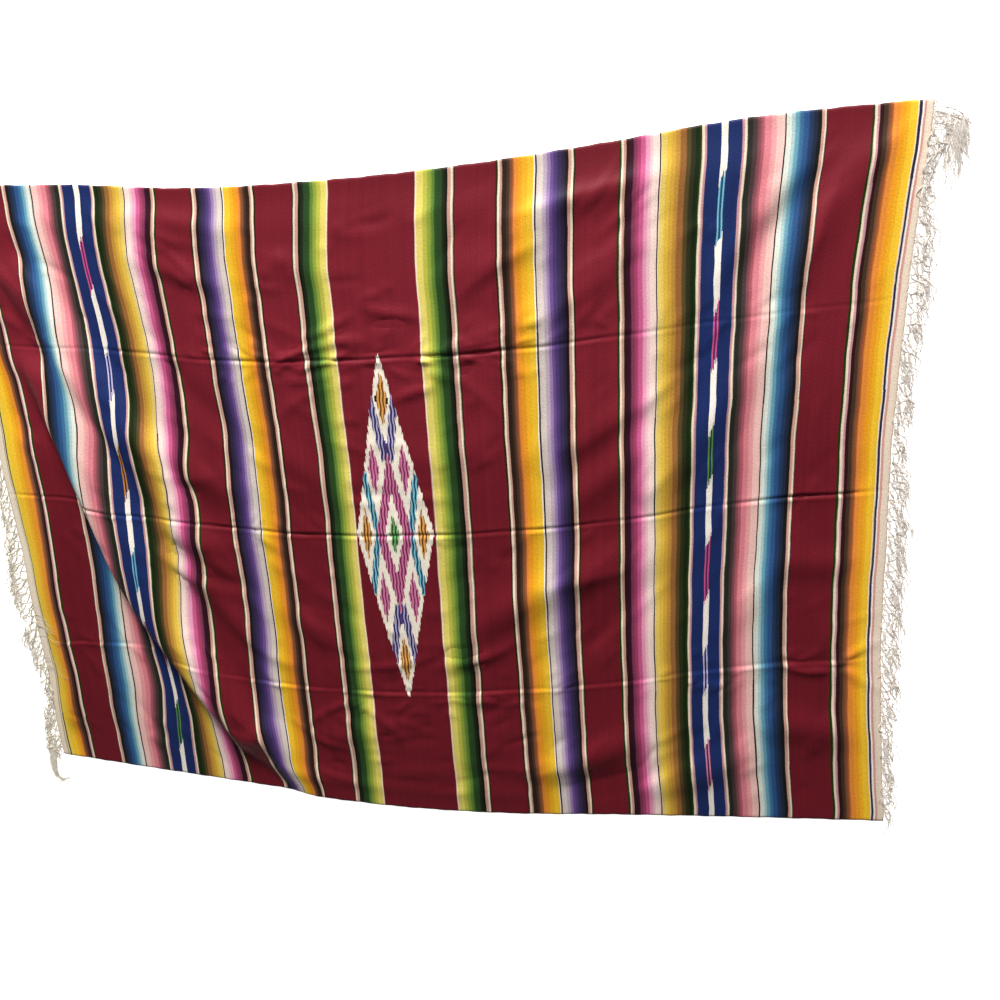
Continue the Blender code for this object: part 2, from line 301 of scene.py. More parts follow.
# Broad rolls of the cloth, in the same columns: soft ridges, or troughs where
# the height is negative.
ROLLS = [
    # right half
    Wrinkle(.08, -.270, .33, -.138, .62, -.075, 12, 42),
    Wrinkle(.28, -.330, .48, -.225, .70, -.120, -5, 40),
    Wrinkle(.35, .015, .47, .088, .59, .170, 8, 34),
    Wrinkle(.33, .110, .44, .186, .57, .260, 7, 32),
    Wrinkle(.55, .020, .66, .140, .84, .400, 10, 46),
    Wrinkle(.24, .590, .43, .640, .64, .690, 6, 26),
    Wrinkle(.28, .400, .42, .462, .58, .570, 7, 34),
    Wrinkle(.12, .500, .26, .560, .42, .600, 5, 36),
    Wrinkle(.73, .400, .80, .550, .92, .715, -7, 36),
    Wrinkle(.84, .400, .88, .540, .98, .700, 7, 40),
    Wrinkle(.24, -.610, .41, -.575, .56, -.490, 12, 40),
    Wrinkle(.34, -.665, .47, -.652, .60, -.600, -6, 28),
    Wrinkle(.52, -.705, .66, -.640, .82, -.560, 8, 36),
    Wrinkle(.78, -.510, .90, -.520, 1.02, -.550, 8, 36),
    Wrinkle(.83, -.130, .92, -.145, 1.03, -.150, 6, 32),
    Wrinkle(.06, -.300, .16, -.285, .28, -.240, 5, 20),
    Wrinkle(.70, -.300, .80, -.200, .88, -.060, 6, 34),
    Wrinkle(.00, .150, .14, .170, .30, .200, 4, 34),
    # left half
    Wrinkle(-.60, .590, -.47, .575, -.35, .520, 6, 30),
    Wrinkle(-.62, .690, -.48, .680, -.30, .650, 6, 26),
    Wrinkle(-.30, .560, -.18, .570, -.02, .540, 4, 34),
    Wrinkle(-.70, .215, -.55, .150, -.37, .055, 13, 40),
    Wrinkle(-.60, .370, -.45, .265, -.31, .140, -6, 38),
    Wrinkle(-.67, .010, -.55, -.035, -.40, -.040, 9, 32),
    Wrinkle(-.54, -.118, -.45, -.126, -.34, -.150, -5, 22),
    Wrinkle(-.62, -.060, -.50, -.160, -.35, -.285, 10, 30),
    Wrinkle(-.34, -.150, -.22, -.220, -.10, -.300, 5, 28),
    Wrinkle(-.30, .200, -.20, .140, -.10, .060, 5, 34),
    Wrinkle(-.52, -.600, -.44, -.560, -.37, -.470, 9, 32),
    Wrinkle(-.24, -.560, -.14, -.500, .00, -.480, 5, 34),
    # along the near hem, which turns down
    Wrinkle(-.40, -.660, -.20, -.682, .00, -.690, 5, 30),
    Wrinkle(-.08, -.690, .12, -.692, .34, -.700, 4, 30),
]
PEDESTAL = 6.0      # mm, how far the loose middle stands off the surface

# Fine rumples: how many, and the range of length, width and height in mm.
RUMPLES, RUMPLE_SEED = 460, 11
RUMPLE_LONG, RUMPLE_WIDE, RUMPLE_HIGH = (35, 130), (8.5, 17), (0.8, 3.1)


# Puckers that fan out from the storage creases: height of the crease on the
# cloth, where they begin and end along the warp, how many, and how high in mm.
Puckers = namedtuple("Puckers", "v u0 u1 count high")
PUCKERS = [
    Puckers(.3725, -.42, .34, 54, 2.3), Puckers(.3725, .34, .90, 14, 1.4), Puckers(-.3725, -.20, .40, 34, 2.0),
    Puckers(-.3725, .66, 1.00, 16, 2.2), Puckers(0, -.60, -.30, 14, 1.6), Puckers(0, -.20, .20, 14, 1.4),
]


def bump(t):
    """A soft hump: 1 at 0, level there, and 0 with a level foot at 1."""
    t = np.clip(np.abs(t), 0, 1)
    return (1 - t * t)**2


def along(u, v, pts, steps=18):
    """Distance to a bowed line through three points, and the place along it."""
    (u0, v0), (u1, v1), (u2, v2) = pts
    cu, cv = 2 * u1 - (u0 + u2) / 2, 2 * v1 - (v0 + v2) / 2
    t = np.linspace(0, 1, steps + 1)
    pu = (1 - t)**2 * u0 + 2 * t * (1 - t) * cu + t**2 * u2
    pv = (1 - t)**2 * v0 + 2 * t * (1 - t) * cv + t**2 * v2
    best = np.full(u.shape, 1e9)
    where = np.zeros(u.shape)
    for i in range(steps):
        du, dv = pu[i + 1] - pu[i], pv[i + 1] - pv[i]
        s = np.clip(((u - pu[i]) * du + (v - pv[i]) * dv) / (du * du + dv * dv), 0, 1)
        d = np.hypot(u - pu[i] - s * du, v - pv[i] - s * dv)
        new = d < best
        best = np.where(new, d, best)
        where = np.where(new, (i + s) / steps, where)
    return best, where


def ridge(z, u, v, pts, height, width):
    """Adds one soft ridge through three points; both sizes in millimetres."""
    us, vs = pts[0::2], pts[1::2]
    reach = 0.001 * width * 2.2
    near = (u > min(us) - reach) & (u < max(us) + reach) & (v > min(vs) - reach - .03) & (v < max(vs) + reach + .03)
    if near.any():
        d, t = along(u[near], v[near], list(zip(us, vs)))
        r = d / (0.001 * width)
        sharp = 0.45 if width < 24 else 0.0
        shape = (1 - sharp) * np.exp(-r * r) + sharp * np.exp(-r * 1.6)
        z[near] += height * 1e-3 * np.sin(np.pi * np.clip(t, 0, 1))**0.8 * shape


def rumples(z, u, v):
    """Many short ridges; they lean with the pull of the cloth."""
    dice = np.random.default_rng(RUMPLE_SEED)
    for k in range(RUMPLES):
        cu, cv = dice.uniform(-LEFT_L + .05, RIGHT_L - .04), dice.uniform(-HALF_W + .03, HALF_W - .03)
        lean = 44 * math.tanh(cu / .30) + 14 * (cu > .65) - 16 * (cu < -.55) + dice.normal(0, 13)
        half = 0.0005 * dice.uniform(*RUMPLE_LONG)
        a = math.radians(lean)
        bow = dice.normal(0, .12) * half
        du, dv = half * math.cos(a), half * math.sin(a)
        pts = (cu - du, cv - dv, cu - bow * math.sin(a), cv + bow * math.cos(a), cu + du, cv + dv)
        ridge(z, u, v, pts, dice.uniform(*RUMPLE_HIGH) * dice.choice((1, 1, -1)), dice.uniform(*RUMPLE_WIDE))


def puckers(z, u, v):
    """Short ridges beside the creases; they start near the line and lean off it."""
    dice = np.random.default_rng(RUMPLE_SEED + 1)
    for row in PUCKERS:
        for k in range(row.count):
            cu = dice.uniform(row.u0, row.u1)
            side = dice.choice((1, -1))
            off = dice.uniform(.006, .055)
            a = math.radians(side * (12 + 420 * off) * (1 if cu > (row.u0 + row.u1) / 2 else -1) + dice.normal(0, 14))
            half = dice.uniform(.012, .034)
            cv = row.v + side * off
            du, dv = half * math.cos(a), half * math.sin(a)
            pts = (cu - du, cv - dv, cu, cv + dice.normal(0, .002), cu + du, cv + dv)
            ridge(z, u, v, pts, 1.3 * row.high * dice.uniform(.4, 1.0), dice.uniform(6.2, 9.4))


def small_form(u, v):
    """Height that creases, rolls, wrinkles and rumples add, in metres, at least 0."""
    z = np.zeros(u.shape)
    for w in ROLLS:
        ridge(z, u, v, w[:6], w.height, w.width)
    for w in WRINKLES:
        ridge(z, u, v, w[:6], 2.0 * w.height, w.width)
    rumples(z, u, v)
    puckers(z, u, v)
    for c in CREASES:
        uneven = 1 + 0.22 * np.sin(u * 23 + c.v * 9) + 0.18 * np.sin(u * 57 + c.v * 31 + 2)
        depth = 1.05 * curve(u, CREASE_AT, c[4:]) * uneven * 1e-3
        wander = 0.0016 * np.sin(u * 9.0 + c.v * 20) + 0.0009 * np.sin(u * 31.0 + c.v * 50)
        s = (v - c.v - wander) / c.width
        z = z + depth * curve(s, SECTION_AT, RIDGE if c.kind > 0 else GROOVE)
    # selvedges and ends lie close to the surface
    hem = np.minimum(HALF_W - np.abs(v), to_end(u))
    z = z * (0.10 + 0.90 * rise(hem / 0.115))
    for w in END_WRINKLES:
        ridge(z, u, v, w[:6], w.height, w.width)
    # the middle stands off a little, and comes down slowly towards the near hem
    down = np.minimum(np.minimum(HALF_W - v, to_end(u)) / 0.115, (HALF_W + v) / 0.30)
    z = z + PEDESTAL * 1e-3 * (0.10 + 0.90 * rise(down))
    return np.maximum(z, 0.0)


# How far the stripes drift from their chart, in millimetres along the warp, at
# seven places across the cloth: the weaver beat the left half more tightly.
DRIFT_HEIGHTS = (.66, .44, .22, 0, -.22, -.44, -.66)
Drift = namedtuple("Drift", "u top high upper mid lower low bottom")
DRIFTS = [
    Drift(-1.025, -1, 3, 6, 6, 9, 8, 3), Drift(-.995, -1, 4, 9, 9, 12, 15, 14), Drift(-.95, -1, 4, 9, 11, 12, 16, 16),
    Drift(-.89, -1, 3, 6, 7, 11, 10, 10), Drift(-.84, 0, 3, 7, 6, 14, 10, 9),
    Drift(-.78, 1, 3, 10, 8, 15, 10, 8), Drift(-.72, 3, 1, 9, 8, 12, 7, 9),
    Drift(-.66, 8, 3, 7, 6, 5, 2, 12), Drift(-.60, 6, 1, 6, 6, 3, 1, 11),
    Drift(-.54, 6, 0, 4, 5, 1, 0, 8), Drift(-.48, 5, 0, 2, 3, 2, 2, 8),
    Drift(-.42, 5, 3, 1, -2, 4, 1, 5), Drift(-.36, 7, 8, 6, 3, 9, 4, 5),
    Drift(-.30, 7, 9, 10, 8, 9, 6, 6), Drift(-.22, 7, 10, 11, 9, 9, 8, 7),
    Drift(-.14, 8, 10, 11, 11, 8, 10, 8), Drift(-.07, 6, 8, 7, 6, 6, 8, 8),
    Drift(.07, 5, 3, 4, 3, 3, 5, 3), Drift(.14, 4, 3, 4, 4, 3, 4, 1),
    Drift(.22, 3, 3, 3, 4, 3, 4, 1), Drift(.30, 2, 2, 2, 2, 0, 3, 1),
    Drift(.40, 3, 3, 3, 3, 0, 3, 0), Drift(.50, 4, 2, 3, 1, 2, 4, 1),
    Drift(.60, 2, 1, 1, 0, 1, 2, 0), Drift(.70, 3, 3, 1, 0, 1, -1, 0),
    Drift(.78, 3, 4, -1, 0, -1, -1, 1), Drift(.86, 2, 1, -1, -2, -1, 0, 1),
    Drift(.96, -3, -3, -4, 0, 1, 0, 1), Drift(1.03, 2, 1, -1, 0, -1, -1, 1),
]


def ripple(u, v):
    """Small sideways wander of the picks and of the selvedges."""
    du = (0.0008 * np.sin(v * 17 + u * 3.1) + 0.0005 * np.sin(v * 41 + u * 5.3 + 1)
          + 0.0002 * np.sin(v * 93 - u * 11 + 2))
    edge = np.exp(-(HALF_W - np.abs(v)) / 0.02)
    dv = edge * (0.0005 * np.sin(u * 71) + 0.0003 * np.sin(u * 163 + 1))
    end = np.exp(-to_end(u) / 0.012)
    du = du + np.sign(u) * end * 0.0006 * np.sin(v * 2 * np.pi / 0.0175)
    return du, dv


def place(u, v):
    """Where the underside of the finished cloth lies."""
    u, v = np.broadcast_arrays(np.asarray(u, float), np.asarray(v, float))
    p = base_place(u, v)
    du, dv = ripple(u, v)
    p[..., 0] += du
    p[..., 1] += dv
    p[..., 2] += small_form(u, v)
    return p


# ================================================================ helpers
def new_object(name, verts, faces, mat, smooth=True):
    mesh = bpy.data.meshes.new(name)
    mesh.from_pydata([tuple(p) for p in verts], [], faces)
    mesh.validate()
    ob = bpy.data.objects.new(name, mesh)
    mesh.materials.append(mat)
    if smooth:
        mesh.shade_smooth()
    bpy.context.scene.collection.objects.link(ob)
    return ob


def srgb(r, g, b):
    """Linear colour of an 8-bit screen colour."""
    out = []
    for c in (r, g, b):
        c /= 255
        out.append(c / 12.92 if c <= 0.04045 else ((c + 0.055) / 1.055)**2.4)
    return out


class Nodes:
    """Writes node trees as expressions: numbers and sockets mix freely."""

    def __init__(self, mat):
        mat.use_nodes = True
        self.tree = mat.node_tree
        self.tree.nodes.clear()
        self.count = 0

    def add(self, kind, **props):
        node = self.tree.nodes.new(kind)
        for k, val in props.items():
            setattr(node, k, val)
        self.count += 1
        node.location = (180 * (self.count // 12), -160 * (self.count % 12))
        return node

    def put(self, node, key, val):
        if val is None:
            return
        if isinstance(val, bpy.types.NodeSocket):
            self.tree.links.new(val, node.inputs[key])
        else:
            node.inputs[key].default_value = val

    def math(self, op, a, b=None, c=None, clamp=False):
        n = self.add("ShaderNodeMath", operation=op, use_clamp=clamp)
        self.put(n, 0, a)
        self.put(n, 1, b)
        self.put(n, 2, c)
        return n.outputs[0]

    def plus(self, a, b): return self.math('ADD', a, b)
    def minus(self, a, b): return self.math('SUBTRACT', a, b)
    def times(self, a, b): return self.math('MULTIPLY', a, b)
    def over(self, a, b): return self.math('DIVIDE', a, b)
    def size(self, a): return self.math('ABSOLUTE', a)
    def less(self, a, b): return self.math('LESS_THAN', a, b)
    def more(self, a, b): return self.math('GREATER_THAN', a, b)
    def floor(self, a): return self.math('FLOOR', a)
    def sine(self, a): return self.math('SINE', a)
    def both(self, a, b): return self.math('MULTIPLY', a, b)
    def either(self, a, b): return self.math('MAXIMUM', a, b)

    def between(self, a, low, high):
        return self.both(self.more(a, low), self.less(a, high))

    def near(self, a, middle, half):
        return self.less(self.size(self.minus(a, middle)), half)

    def span(self, a, low, high, to_low=0.0, to_high=1.0, smooth=False):
        n = self.add("ShaderNodeMapRange", interpolation_type='SMOOTHSTEP' if smooth else 'LINEAR')
        n.clamp = True
        for key, val in zip(("Value", "From Min", "From Max", "To Min", "To Max"), (a, low, high, to_low, to_high)):
            self.put(n, key, val)
        return n.outputs["Result"]

    def vector(self, x=0.0, y=0.0, z=0.0):
        n = self.add("ShaderNodeCombineXYZ")
        for key, val in zip("XYZ", (x, y, z)):
            self.put(n, key, val)
        return n.outputs[0]

    def split(self, vec):
        n = self.add("ShaderNodeSeparateXYZ")
        self.put(n, 0, vec)
        return n.outputs[0], n.outputs[1], n.outputs[2]

    def noise(self, vec, scale=1.0, detail=2.0, rough=0.5, dims='3D'):
        n = self.add("ShaderNodeTexNoise", noise_dimensions=dims)
        self.put(n, "Vector", vec)
        self.put(n, "Scale", scale)
        self.put(n, "Detail", detail)
        self.put(n, "Roughness", rough)
        return n.outputs["Fac"] if "Fac" in n.outputs else n.outputs[0]

    def random(self, vec, dims='2D'):
        n = self.add("ShaderNodeTexWhiteNoise", noise_dimensions=dims)
        self.put(n, "Vector", vec)
        return n.outputs["Value"]

    def ramp(self, fac, stops, interpolation='CONSTANT'):
        n = self.add("ShaderNodeValToRGB")
        n.color_ramp.interpolation = interpolation
        el = n.color_ramp.elements
        while len(el) < len(stops):
            el.new(1.0)
        for e, (at, col) in zip(el, stops):
            e.position = at
        for e, (at, col) in zip(el, stops):
            e.position = at
            e.color = (*col, 1.0)
        self.put(n, "Fac", fac)
        return n.outputs["Color"]

    def mix(self, fac, a, b, blend='MIX'):
        n = self.add("ShaderNodeMix", data_type='RGBA', blend_type=blend)
        n.clamp_factor = True
        for s in n.inputs:
            if s.identifier == "Factor_Float":
                key_f = s
            elif s.identifier == "A_Color":
                key_a = s
            elif s.identifier == "B_Color":
                key_b = s
        for s, val in ((key_f, fac), (key_a, a), (key_b, b)):
            if isinstance(val, bpy.types.NodeSocket):
                self.tree.links.new(val, s)
            elif s is key_f:
                s.default_value = val
            else:
                s.default_value = (*val, 1.0)
        return [o for o in n.outputs if o.identifier == "Result_Color"][0]

    def gray(self, value):
        n = self.add("ShaderNodeCombineColor")
        for k in range(3):
            self.put(n, k, value)
        return n.outputs[0]

    def uv(self, name):
        n = self.add("ShaderNodeUVMap")
        n.uv_map = name
        return n.outputs[0]


# ================================================================ yarns
# Screen colours of the yarns, as they look in plain soft light.
YARN = {
    "maroon": (107, 24, 35), "wine_black": (47, 17, 18), "plum_black": (50, 16, 38),
    "cream": (230, 213, 188), "cream_pink": (243, 220, 189), "white": (238, 230, 220),
    "pink": (191, 148, 134), "rose_pink": (192, 141, 147), "salmon": (198, 153, 136),
    "leaf_dark": (31, 50, 6), "leaf_shade": (44, 33, 7), "bottle": (34, 66, 34),
    "lemon": (221, 204, 105), "lemon_deep": (181, 181, 71), "moss": (137, 155, 59), "lime": (91, 123, 50),
    "grass": (39, 73, 29), "fern": (41, 66, 34), "forest": (24, 36, 17), "forest_black": (18, 15, 4),
    "coffee_black": (46, 28, 20), "coffee": (64, 47, 34), "chestnut": (119, 72, 51), "rust": (151, 83, 42),
    "tangerine": (221, 134, 55), "orange": (225, 149, 34), "amber": (229, 168, 36), "gold": (233, 187, 49),
    "ink": (24, 22, 22), "ink_blue": (38, 34, 62),
    "mist": (210, 196, 188), "mist_lilac": (184, 165, 180), "lilac": (145, 120, 164),
    "violet": (103, 76, 133), "violet_deep": (74, 54, 106), "grape": (54, 42, 79), "grape_dark": (41, 35, 56),
    "night": (31, 17, 27),
    "mauve_dark": (125, 55, 80), "mauve": (156, 60, 98), "magenta": (196, 89, 134), "orchid": (227, 153, 180),
    "orchid_pale": (233, 186, 192), "blush": (240, 213, 203),
    "corn": (224, 195, 101), "corn_deep": (219, 180, 65), "honey": (202, 158, 60), "tan": (183, 135, 55),
    "saddle": (146, 96, 50), "olive": (80, 65, 34), "olive_dark": (43, 44, 23), "olive_black": (21, 36, 13),
    "royal": (27, 43, 93),
    "green_black": (38, 39, 33), "ash": (72, 54, 54), "rosewood": (122, 72, 78), "rose_deep": (168, 86, 97),
    "rose": (215, 127, 136), "rose_light": (228, 157, 157), "shell": (236, 191, 182),
    "frost": (218, 221, 208), "aqua_pale": (171, 199, 200), "aqua": (101, 154, 172), "sky": (58, 107, 146),
    "azure": (44, 80, 127), "denim": (33, 53, 87), "navy": (30, 40, 59), "navy_black": (25, 23, 24),
    "lemon_gold": (226, 196, 70), "natural_dark": (172, 154, 116),
    "clay_red": (204, 148, 138), "natural": (223, 206, 186), "natural_grey": (220, 206, 184),
}

# The stripe chart, from the middle of the cloth outwards, alike on both
# halves: the place (m) where each stripe starts, and its yarn.
Stripe = namedtuple("Stripe", "start yarn")
STRIPES = [
    Stripe(.0000, "maroon"),
    # green shading
    Stripe(.0962, "cream_pink"), Stripe(.0995, "lemon"), Stripe(.1130, "lemon_deep"), Stripe(.1220, "moss"),
    Stripe(.1300, "lime"), Stripe(.1372, "grass"), Stripe(.1435, "fern"), Stripe(.1520, "forest"),
    Stripe(.1590, "forest_black"), Stripe(.1638, "pink"), Stripe(.1705, "cream"), Stripe(.1745, "leaf_shade"),
    Stripe(.1782, "maroon"),
    # orange and violet shading
    Stripe(.2603, "leaf_shade"), Stripe(.2645, "cream"), Stripe(.2690, "pink"), Stripe(.2730, "coffee_black"),
    Stripe(.2825, "coffee"), Stripe(.2880, "chestnut"), Stripe(.2928, "rust"), Stripe(.2968, "tangerine"),
    Stripe(.3030, "orange"), Stripe(.3125, "amber"), Stripe(.3225, "gold"), Stripe(.3362, "white"),
    Stripe(.3384, "ink"), Stripe(.3416, "mist"), Stripe(.3540, "mist_lilac"), Stripe(.3620, "lilac"),
    Stripe(.3680, "violet"), Stripe(.3745, "violet_deep"), Stripe(.3820, "grape"), Stripe(.3900, "grape_dark"),
    Stripe(.3970, "night"), Stripe(.4035, "salmon"), Stripe(.4092, "cream"), Stripe(.4132, "leaf_shade"),
    Stripe(.4170, "maroon"),
    # magenta and olive shading
    Stripe(.5005, "leaf_dark"), Stripe(.5055, "cream"), Stripe(.5095, "pink"), Stripe(.5145, "wine_black"),
    Stripe(.5220, "plum_black"), Stripe(.5290, "mauve_dark"), Stripe(.5360, "mauve"), Stripe(.5430, "magenta"),
    Stripe(.5520, "orchid"), Stripe(.5600, "orchid_pale"), Stripe(.5665, "blush"), Stripe(.5786, "ink"),
    Stripe(.5814, "cream"), Stripe(.5826, "corn"), Stripe(.5920, "corn_deep"), Stripe(.6000, "honey"),
    Stripe(.6080, "tan"), Stripe(.6162, "saddle"), Stripe(.6270, "olive"), Stripe(.6350, "olive_dark"),
    Stripe(.6430, "olive_black"), Stripe(.6508, "leaf_dark"), Stripe(.6543, "cream"), Stripe(.6585, "rose_pink"),
    # blue band
    Stripe(.6622, "royal"), Stripe(.7222, "rose_pink"), Stripe(.7262, "cream"),
    # rose and sky shading
    Stripe(.7300, "green_black"), Stripe(.7400, "ash"), Stripe(.7475, "rosewood"), Stripe(.7530, "rose_deep"),
    Stripe(.7590, "rose"), Stripe(.7700, "rose_light"), Stripe(.7790, "shell"), Stripe(.7924, "ink"),
    Stripe(.7954, "frost"), Stripe(.8035, "aqua_pale"), Stripe(.8092, "aqua"), Stripe(.8162, "sky"),
    Stripe(.8232, "azure"), Stripe(.8322, "denim"), Stripe(.8400, "navy"), Stripe(.8470, "navy_black"),
    Stripe(.8540, "salmon"), Stripe(.8592, "cream"), Stripe(.8622, "plum_black"), Stripe(.8640, "maroon"),
    # the last orange shading and the end
    Stripe(.9455, "leaf_dark"), Stripe(.9508, "cream"), Stripe(.9552, "rose_pink"), Stripe(.9592, "wine_black"),
    Stripe(.9660, "coffee"), Stripe(.9730, "chestnut"), Stripe(.9780, "rust"), Stripe(.9820, "tangerine"),
    Stripe(.9920, "orange"), Stripe(1.0010, "amber"), Stripe(1.0080, "gold"), Stripe(1.0200, "cream"),
    Stripe(1.0224, "ink_blue"), Stripe(1.0268, "white"), Stripe(1.0298, "clay_red"), Stripe(1.0344, "natural"),
]
# The left end differs past its gold stripe.
LEFT_END = [
    Stripe(.9860, "orange"), Stripe(.9930, "amber"), Stripe(1.0000, "gold"), Stripe(1.0120, "lemon_gold"),
    Stripe(1.0184, "leaf_shade"), Stripe(1.0208, "natural_grey"), Stripe(1.0228, "natural_dark"), Stripe(1.0246, "natural_grey"),
]

# Tie-dyed streak down the middle of each blue band, from the far selvedge to
# the near one: the place where each stretch ends, and its yarns.
Streak = namedtuple("Streak", "until light dark")
STREAK_MID = .6928
STREAK_RIGHT = [
    Streak(.648, "white", None), Streak(.530, "streak_aqua", "streak_teal"), Streak(.402, "white", None),
    Streak(.289, "streak_pink", "streak_wine"), Streak(.159, "white", None), Streak(.051, "streak_leaf", "streak_pine"),
    Streak(-.073, "white", None), Streak(-.199, "streak_pink", "streak_wine"), Streak(-.315, "white", None),
    Streak(-.418, "streak_lilac", "royal"), Streak(-.544, "white", None), Streak(-.662, "streak_rose", "streak_wine"),
    Streak(-.760, "white", None),
]
STREAK_LEFT = [
    Streak(.620, "white", None), Streak(.510, "streak_pink", "streak_wine"), Streak(.369, "white", None),
    Streak(.272, "streak_lilac", "royal"), Streak(.152, "white", None), Streak(.044, "streak_amber", "streak_brown"),
    Streak(-.086, "white", None), Streak(-.185, "streak_aqua", "streak_teal"), Streak(-.275, "white", None),
    Streak(-.403, "streak_rose", "streak_wine"), Streak(-.522, "white", None), Streak(-.651, "streak_leaf", "streak_pine"),
    Streak(-.760, "white", None),
]
YARN.update({
    "streak_aqua": (118, 182, 206), "streak_teal": (24, 84, 104), "streak_pink": (196, 84, 140),
    "streak_wine": (104, 28, 62), "streak_leaf": (92, 142, 72), "streak_pine": (22, 62, 40),
    "streak_lilac": (186, 176, 208), "streak_rose": (206, 128, 158), "streak_amber": (196, 130, 56),
    "streak_brown": (70, 40, 24),
    "dia_cream": (240, 230, 212), "dia_pink": (204, 118, 156), "dia_wine": (118, 40, 78),
    "dia_aqua": (124, 188, 204), "dia_teal": (20, 70, 98), "dia_lilac": (178, 172, 206),
    "dia_indigo": (48, 42, 90), "dia_violet": (74, 60, 116), "dia_amber": (216, 158, 82), "dia_brown": (92, 50, 24),
    "dia_leaf": (108, 164, 100), "dia_pine": (28, 74, 38), "dia_black": (24, 24, 24),
})
EXPOSURE = 1.14    # how much light the middle of the cloth gets


def yarn(name):
    return [min(c / EXPOSURE, 0.95) for c in srgb(*YARN[name])]


# ================================================================ materials
PICK = 0.00105      # from one pick of weft to the next
WARP = 0.00260      # from one warp end to the next
DIAMOND_U, DIAMOND_V = -0.0015, 0.004
DIAMOND_A, DIAMOND_B = 0.0945, 0.3890
STEP = 0.0039       # width of one weaver's step in the diamond


SHADED = [(.0995, .1590), (.1130, .1590), (.2730, .3225), (.3412, .3970), (.5145, .5665), (.5826, .6430),
          (.7300, .7790), (.7950, .8470), (.9592, 1.0080)]   # runs of yarns that melt into each other


def soft_edge(start):
    """Half width of the change of yarn at a stripe's start: picks of both mix there."""
    return 0.0014 if any(low + 0.001 < start <= high + 0.0001 for low, high in SHADED) else 0.0004


def stops_of(stripes, low, high):
    """Two ramp stops for every change of yarn, the width of the change apart."""
    stops = [(0.0, yarn(stripes[0].yarn))]
    for before, row in zip(stripes, stripes[1:]):
        half = soft_edge(row.start)
        for at, name in ((row.start - half, before.yarn), (row.start + half, row.yarn)):
            stops.append((min(max((at - low) / (high - low), 0.0), 1.0), yarn(name)))
    return stops


def stripe_colour(g, a, stripes, last):
    """Colour at the distance a from the middle, through a chain of ramps."""
    size = 15
    out = None
    for k in range(0, len(stripes), size):
        group = stripes[k:k + size + 1]      # one shared stripe, so that ramps meet inside it
        low = group[0].start
        high = group[-1].start if len(group) > size else last
        col = g.ramp(g.over(g.minus(a, low), high - low), stops_of(group[:size] if len(group) > size else group, low, high), 'LINEAR')
        out = col if out is None else g.mix(g.more(a, low), out, col)
    return out


def streak_colour(g, s, rows):
    """Along a tie-dyed streak: its light yarn, its dark yarn, and where it is whole."""
    low, high = -.800, .800
    light, dark, whole = [], [], []
    for r in reversed(rows):
        # each stretch begins where it stops on its near side
        at = 0.0 if r is rows[-1] else (r.until - low) / (high - low)
        light.append((at, yarn(r.light)))
        dark.append((at, yarn(r.dark or r.light)))
        whole.append((at, [0, 0, 0] if r.dark else [1, 1, 1]))
    return light, dark, whole


def diamond(g, u, v):
    """Colour and cover of the stepped diamond in the middle."""
    dv = g.minus(v, DIAMOND_V)
    # columns of picks sway a little from step to step, like flames
    sway = g.times(g.sine(g.plus(g.times(v, 2 * math.pi / 0.031), g.times(u, 70.0))), 0.0009)
    du = g.plus(g.minus(u, DIAMOND_U), sway)
    col_id = g.floor(g.over(du, STEP))
    centre = g.times(g.plus(col_id, 0.5), STEP)
    local = g.minus(g.over(du, STEP), g.plus(col_id, 0.5))
    jitter = g.minus(g.random(g.vector(col_id, g.floor(g.over(dv, 0.045)), 0.0)), 0.5)
    p = g.over(centre, DIAMOND_A)
    # every column ends in a point
    point = g.times(g.size(local), 0.034)
    q = g.over(g.plus(dv, g.times(jitter, 0.0070)), DIAMOND_B)
    ap, aq = g.size(p), g.size(q)
    inside = g.less(g.plus(g.plus(ap, aq), point), 1.0)
    cream = yarn("dia_cream")
    col = g.mix(0.0, cream, cream)
    # light columns are a little wider than the dark ones between them
    pair = g.math('FLOORED_MODULO', g.plus(g.over(du, STEP * 2), 0.25), 1.0)

    def paint(base, mask, light, dark, share=0.56):
        """Light and dark columns in turn; share is the light ones' part."""
        return g.mix(mask, base, g.mix(g.more(pair, share), yarn(light), yarn(dark)))

    def line(at, slope, half):
        """Band along |p| = at + slope * |q|, its ends of columns pointed."""
        off = g.size(g.minus(ap, g.plus(at, g.times(aq, slope))))
        return g.less(g.plus(off, g.times(point, 1.3)), half)

    out = g.plus(ap, aq)
    ring = g.both(g.more(g.minus(out, g.times(point, 0.6)), .232), g.less(g.plus(out, point), .468))
    wings = g.both(line(.415, .76, .092), g.less(g.plus(aq, point), .350))
    arms = g.both(line(-.245, .74, .104), g.more(g.minus(aq, point), .395))
    cross = g.both(g.less(ap, .050), g.near(aq, .480, .030))
    col = paint(col, arms, "dia_lilac", "dia_indigo", 0.40)
    col = g.mix(cross, col, yarn("dia_violet"))
    col = paint(col, wings, "dia_aqua", "dia_teal", 0.46)
    col = paint(col, ring, "dia_pink", "dia_wine", 0.48)
    for (cp, cq, r, light, dark) in (
            (.385, .360, .152, "dia_pink", "dia_wine"),
            (.0, .735, .160, "dia_amber", "dia_brown"),
            (.722, .0, .150, "dia_amber", "dia_brown"),
            (.0, .0, .130, "dia_leaf", "dia_pine")):
        d = g.plus(g.plus(g.size(g.minus(ap, cp)), g.size(g.minus(aq, cq))), point)
        col = g.mix(g.less(d, r + 0.060), col, cream)
        col = paint(col, g.less(d, r), light, dark)
    side = g.both(g.near(ap, .152, .021), g.near(q, .735, .017))
    col = g.mix(side, col, yarn("dia_black"))
    return col, inside


